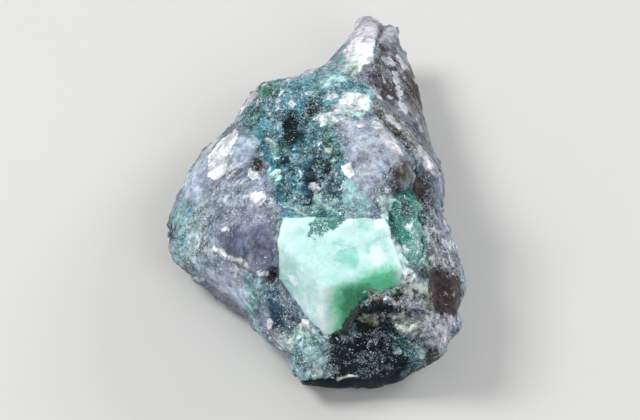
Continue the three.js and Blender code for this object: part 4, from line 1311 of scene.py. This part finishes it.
def crumb_tree():
    """Angular crumbs scattered where the crumbs attribute is high."""
    inputs = {
        "Geometry": (GEOMETRY, None),
        "Density": (FLOAT, 1e6),
        "Smallest": (FLOAT, 0.0001),
        "Largest": (FLOAT, 0.0002),
        "Seed": ("NodeSocketInt", 1),
        "Material": ("NodeSocketMaterial", None),
    }
    tree, given, out = new_group("scattered_crumbs", "GeometryNodeTree", inputs, {"Geometry": GEOMETRY})
    density = tree.math("MULTIPLY", given.outputs["Density"], tree.named("crumbs"))
    spots = tree.add(
        "GeometryNodeDistributePointsOnFaces",
        {"Mesh": given.outputs["Geometry"], "Density": density, "Seed": given.outputs["Seed"]},
        distribute_method="RANDOM",
    )
    ball = tree.add("GeometryNodeMeshIcoSphere", {"Radius": 1.0, "Subdivisions": 1})
    rough = tree.random_vector((-0.35, -0.35, -0.35), (0.35, 0.35, 0.35), 5)
    stone = tree.add("GeometryNodeSetPosition", {"Geometry": ball.outputs[0], "Offset": rough})
    turn = tree.random_vector((0, 0, 0), (6.28, 6.28, 6.28), 8)
    draw = tree.add("FunctionNodeRandomValue", {2: 0.0, 3: 1.0, "Seed": 9}, data_type="FLOAT")
    skewed = tree.math("POWER", draw.outputs[1], 3.0)
    span = tree.math("SUBTRACT", given.outputs["Largest"], given.outputs["Smallest"])
    size = tree.math("MULTIPLY_ADD", skewed, span, given.outputs["Smallest"])
    squash = tree.random_vector((0.6, 0.6, 0.35), (1.3, 1.0, 0.8), 12)
    placed = tree.add(
        "GeometryNodeInstanceOnPoints",
        {
            "Points": spots.outputs["Points"],
            "Instance": stone.outputs[0],
            "Rotation": turn,
            "Scale": tree.scaled(squash, size),
        },
    )
    whole = tree.add("GeometryNodeRealizeInstances", {"Geometry": placed.outputs[0]})
    tree.finish(whole.outputs[0], given, out)
    return tree.tree


# Pieces


def lay_zones(mesh, zones, names, wander, hidden=None):
    """Writes the zone attributes of a piece: drawn outlines where the eye sees it, slow noise elsewhere."""
    points, normals = points_of(mesh), normals_of(mesh)
    shift = np.stack([Lattice(seed).rough(points, WARP_SIZE) for seed in WARP_SEEDS], axis=1)
    spots = drawn(points) + wander * shift
    facing = normals @ TO_EYE
    seen = ease_between(-0.15, 0.2, facing) if hidden else np.ones(len(points))
    for name in names:
        mask = seen * zone_mask(spots, zones.get(name, []))
        if hidden and name in hidden:
            seed, size, threshold, strength = hidden[name]
            slow = Lattice(seed).rough(points, size)
            mask += (1 - seen) * strength * ease_between(threshold - 0.12, threshold + 0.12, slow)
        store(mesh, name, mask)


def mark_relief(mesh, rounds, lift):
    """Writes how far each vertex stands out from, or lies below, the smoothed surface round it."""
    points, normals = points_of(mesh), normals_of(mesh)
    height = np.sum((points - smoothed(points, edges_of(mesh), rounds)) * normals, axis=1)
    store(mesh, "ridge", ease_between(0.3 * lift, lift, height))
    store(mesh, "hollow", ease_between(0.3 * lift, lift, -height))


def swell_to(mesh, node, reach, lift):
    """Swells a surface towards a CAD node within reach of it, so that it closes on it."""
    points, normals = points_of(mesh), normals_of(mesh)
    swell = np.zeros(len(points))
    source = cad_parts[node].data
    shell = BVHTree.FromPolygons([v.co for v in source.vertices], [p.vertices for p in source.polygons])
    low, high = (np.array(corner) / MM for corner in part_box(node))
    for i in np.flatnonzero(np.all((points > low - reach) & (points < high + reach), axis=1)):
        distance = shell.find_nearest(Vector(points[i] * MM))[3]
        swell[i] = lift * (1 - min(distance / (reach * MM), 1)) ** 0.5
    set_points(mesh, points + swell[:, None] * normals)
    return swell / lift


def carve(mesh):
    """Cuts the drawn grooves into the side that the eye sees, and raises the drawn ridges."""
    points, normals = points_of(mesh), normals_of(mesh)
    spots = drawn(points)
    lift = zone_mask(spots, RAISED) - zone_mask(spots, CARVED)
    lift *= ease_between(-0.5, -0.1, normals @ TO_EYE)
    set_points(mesh, points + lift[:, None] * normals)


def patches(mesh, seed, size, full):
    """Loose patches over a surface, from slow noise."""
    return ease_between(-0.1, full, Lattice(seed).rough(points_of(mesh), size))


def mark_contact(mesh, contact):
    """Pale rind and dust round the large crystal, and teal beryl round the blade."""
    height = drawn(points_of(mesh))[:, 1]
    contact[0] *= ease_between(-9.0, -6.5, height) * (1 - contact[1])
    add_to(mesh, "mint", 0.6 * contact[0] * patches(mesh, seed=32, size=1.8, full=0.25))
    add_to(mesh, "reef", 0.8 * contact[1])
    add_to(mesh, "dust", 0.6 * contact[0])


def mark_crumbs(mesh, contact):
    """Writes where crumbs lie: in the dusty patches and round the two crystals, but not at the foot."""
    dust = np.empty(len(mesh.vertices), dtype=np.float32)
    mesh.attributes["dust"].data.foreach_get("value", dust)
    spread = patches(mesh, seed=31, size=2.2, full=0.35)
    foot = ease_between(0.6, 2.0, points_of(mesh)[:, 2])
    loose = np.clip(dust, 0, 1) * np.maximum(spread, contact[0])
    store(mesh, "crumbs", np.maximum(loose, 0.6 * contact[1] * spread) * foot)


def finish_piece(obj, slot, *nodes):
    """Hands a finished piece to the frame."""
    shade_smooth(obj.data)
    if nodes:
        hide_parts(*nodes)
    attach(obj, "root")


class SPECIMEN_OT_quartz(bpy.types.Operator):
    """Make the lump of smoky quartz"""

    bl_idname = "specimen.quartz"
    bl_label = "Smoky quartz"

    def execute(self, context):
        look = context.scene.specimen_quartz
        lump = even_copy("quartz_lump", "smoky_quartz", look.voxel)
        mesh = lump.data
        set_points(mesh, smoothed(points_of(mesh), edges_of(mesh), rounds=2))
        crystals = ("beryl_crystal", "beryl_blade")
        contact = [swell_to(mesh, node, reach=0.8, lift=look.contact / MM) for node in crystals]
        carve(mesh)
        lay_zones(mesh, ZONES, MASKS, wander=0.55, hidden=HIDDEN)
        mark_contact(mesh, contact)
        values = {
            "Chip Size": look.chip_size,
            "Chip Depth": look.chip_depth,
            "Splinter Size": look.flake_size,
            "Splinter Depth": look.flake_depth,
            "Grain Size": look.grain_size,
            "Grain Depth": look.grain_depth,
            "Foot Height": look.foot,
            "Material": quartz_material(look),
        }
        mesh = run_nodes(lump, relief_group(), values)
        mark_relief(mesh, rounds=14, lift=0.07)
        mark_crumbs(mesh, contact)
        finish_piece(lump, "smoky_quartz", "smoky_quartz")
        return {"FINISHED"}


def beryl_piece(name, node, look, material, zones, names, soften, wave, spread, grow):
    """A beryl piece with even faces, soft broken edges, slow waves and growth lines."""
    piece = even_copy(name, node, look.voxel)
    mesh = piece.data
    edges = edges_of(mesh)
    set_points(mesh, points_of(mesh) + grow * normals_of(mesh))
    points = smoothed(points_of(mesh), edges, soften)
    set_points(mesh, points)
    normals = normals_of(mesh)
    axis = np.array([0.03, -0.33, -1.0])
    axis /= np.linalg.norm(axis)
    across = points - 0.93 * (points @ axis)[:, None] * axis
    side = 1 - np.abs(normals @ axis)
    lift = wave / MM * Lattice(41).rough(points, spread)
    lift += look.streak / MM * side * Lattice(42).rough(across, 0.8)
    set_points(mesh, points + lift[:, None] * normals)
    lay_zones(mesh, zones, names, wander=0.5)
    mark_relief(mesh, rounds=16, lift=0.05)
    mesh.materials.clear()
    mesh.materials.append(material)
    return piece


class SPECIMEN_OT_crystal(bpy.types.Operator):
    """Make the large broken beryl crystal"""

    bl_idname = "specimen.crystal"
    bl_label = "Beryl crystal"

    def execute(self, context):
        look = context.scene.specimen_beryl
        soft = [(name, getattr(look, name), False) for name in ("sky", "cloud", "leaf", "deep", "white")]
        layers = soft + [("matrix", look.matrix, True), ("ledge_shade", look.ledge_shade, True)]
        material = beryl_material(look, "mint_beryl", look.pale, layers,
                                  powdered=0.004, milky=1.0, scatter=0.35)
        names = [zone for zone, _, _ in layers] + ["dust"]
        piece = beryl_piece(
            "beryl_prism", "beryl_crystal", look, material, CRYSTAL_ZONES, names,
            soften=30, wave=look.wave, spread=2.2, grow=0.32,
        )
        finish_piece(piece, "pale_beryl", "beryl_crystal")
        return {"FINISHED"}


class SPECIMEN_OT_blade(bpy.types.Operator):
    """Make the teal beryl blade"""

    bl_idname = "specimen.blade"
    bl_label = "Beryl blade"

    def execute(self, context):
        look = context.scene.specimen_beryl
        layers = [("deep", look.teal, False), ("dark_patch", look.dark_patch, False), ("white", look.white, True)]
        material = beryl_material(look, "teal_beryl", look.rind, layers,
                                  powdered=0.04, milky=0.2, scatter=0.15)
        names = [zone for zone, _, _ in layers] + ["dust"]
        piece = beryl_piece(
            "beryl_side_blade", "beryl_blade", look, material, BLADE_ZONES, names,
            soften=4, wave=3.5 * look.wave, spread=1.5, grow=0.36,
        )
        finish_piece(piece, "teal_beryl", "beryl_blade")
        return {"FINISHED"}


class SPECIMEN_OT_crumbs(bpy.types.Operator):
    """Scatter white crumbs over the quartz"""

    bl_idname = "specimen.crumbs"
    bl_label = "White crumbs"

    def execute(self, context):
        look = context.scene.specimen_crumbs
        lump = bpy.data.objects.get("quartz_lump")
        if lump is None:
            raise RuntimeError("Make the smoky quartz first")
        crumbs = new_object("white_crumbs", lump.data.copy())
        values = {
            "Density": look.density * 1e6,
            "Smallest": look.smallest,
            "Largest": look.largest,
            "Seed": look.seed,
            "Material": crumb_material(context.scene.specimen_quartz),
        }
        mesh = run_nodes(crumbs, crumb_tree(), values)
        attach(crumbs, "root")
        if not len(mesh.vertices):
            raise RuntimeError("No crumb was scattered")
        return {"FINISHED"}


# Stage


def soft_light(name, place, power, width, tint=(1, 1, 1)):
    """A square soft light in millimetres that aims at the specimen."""
    data = bpy.data.lights.new(name, "AREA")
    data.shape = "SQUARE"
    data.size = width * MM
    data.energy = power
    data.color = tint
    lamp = bpy.data.objects.new(name, data)
    bpy.context.scene.collection.objects.link(lamp)
    lamp.location = Vector(place) * MM
    lamp.rotation_mode = "QUATERNION"
    lamp.rotation_quaternion = (Vector(AIM) * MM - lamp.location).to_track_quat("-Z", "Y")
    return lamp


class SPECIMEN_OT_stage(bpy.types.Operator):
    """Make the table, the lights and the camera"""

    bl_idname = "specimen.stage"
    bl_label = "Table, lights and camera"

    def execute(self, context):
        look = context.scene.specimen_stage
        tree, shader, material = new_material("pale_table")
        mottle = tree.waves(tree.place(), 60.0, 3.0)
        darker = rgba([c * 0.96 for c in look.table])
        tree.feed(shader.inputs["Base Color"], tree.mix(mottle, rgba(look.table), darker))
        shader.inputs["Roughness"].default_value = 0.6
        bpy.ops.mesh.primitive_plane_add(size=3.0, location=(0, 0, 0))
        floor = context.object
        floor.name = "pale_table"
        floor.data.materials.append(material)

        world = bpy.data.worlds.new("soft_room")
        context.scene.world = world
        world.use_nodes = True
        backdrop = world.node_tree.nodes["Background"]
        backdrop.inputs["Color"].default_value = rgba(look.room)
        backdrop.inputs["Strength"].default_value = look.room_strength

        soft_light("key", (-270, 70, 340), look.key_power, width=150)
        soft_light("fill", (210, -260, 320), look.fill_power, width=260)
        soft_light("side", (330, 160, 210), look.side_power, width=160)

        data = bpy.data.cameras.new("camera")
        data.sensor_width = SENSOR
        data.lens = SENSOR * EYE_DISTANCE / VIEW_WIDTH
        data.clip_start = 0.01
        data.clip_end = 10
        camera = bpy.data.objects.new("camera", data)
        context.scene.collection.objects.link(camera)
        camera.location = Vector((AIM + EYE_DISTANCE * TO_EYE) * MM)
        camera.rotation_euler = (math.pi / 2 - EYE_ELEVATION, 0, 0)
        context.scene.camera = camera
        context.scene.view_settings.view_transform = "Standard"
        return {"FINISHED"}


class SPECIMEN_PT_panel(bpy.types.Panel):
    """The specimen's pieces"""

    bl_label = "Beryl specimen"
    bl_space_type = "VIEW_3D"
    bl_region_type = "UI"
    bl_category = "Specimen"

    def draw(self, context):
        for group, settings in SETTINGS.items():
            box = self.layout.box()
            for name in settings.__annotations__:
                box.prop(getattr(context.scene, group), name)
        for made in MAKERS:
            self.layout.operator(made.bl_idname)


SETTINGS = {
    "specimen_quartz": QuartzSettings,
    "specimen_beryl": BerylSettings,
    "specimen_crumbs": CrumbSettings,
    "specimen_stage": StageSettings,
}
MAKERS = [SPECIMEN_OT_stage, SPECIMEN_OT_quartz, SPECIMEN_OT_crystal, SPECIMEN_OT_blade, SPECIMEN_OT_crumbs]
CLASSES = [*SETTINGS.values(), *MAKERS, SPECIMEN_PT_panel]


def register():
    for made in CLASSES:
        bpy.utils.register_class(made)
    for group, settings in SETTINGS.items():
        setattr(bpy.types.Scene, group, PointerProperty(type=settings))


def unregister():
    for group in SETTINGS:
        delattr(bpy.types.Scene, group)
    for made in reversed(CLASSES):
        bpy.utils.unregister_class(made)


def main():
    """Makes every piece in order."""
    register()
    for made in MAKERS:
        group, name = made.bl_idname.split(".")
        getattr(getattr(bpy.ops, group), name)()


if __name__ == "__main__":
    main()
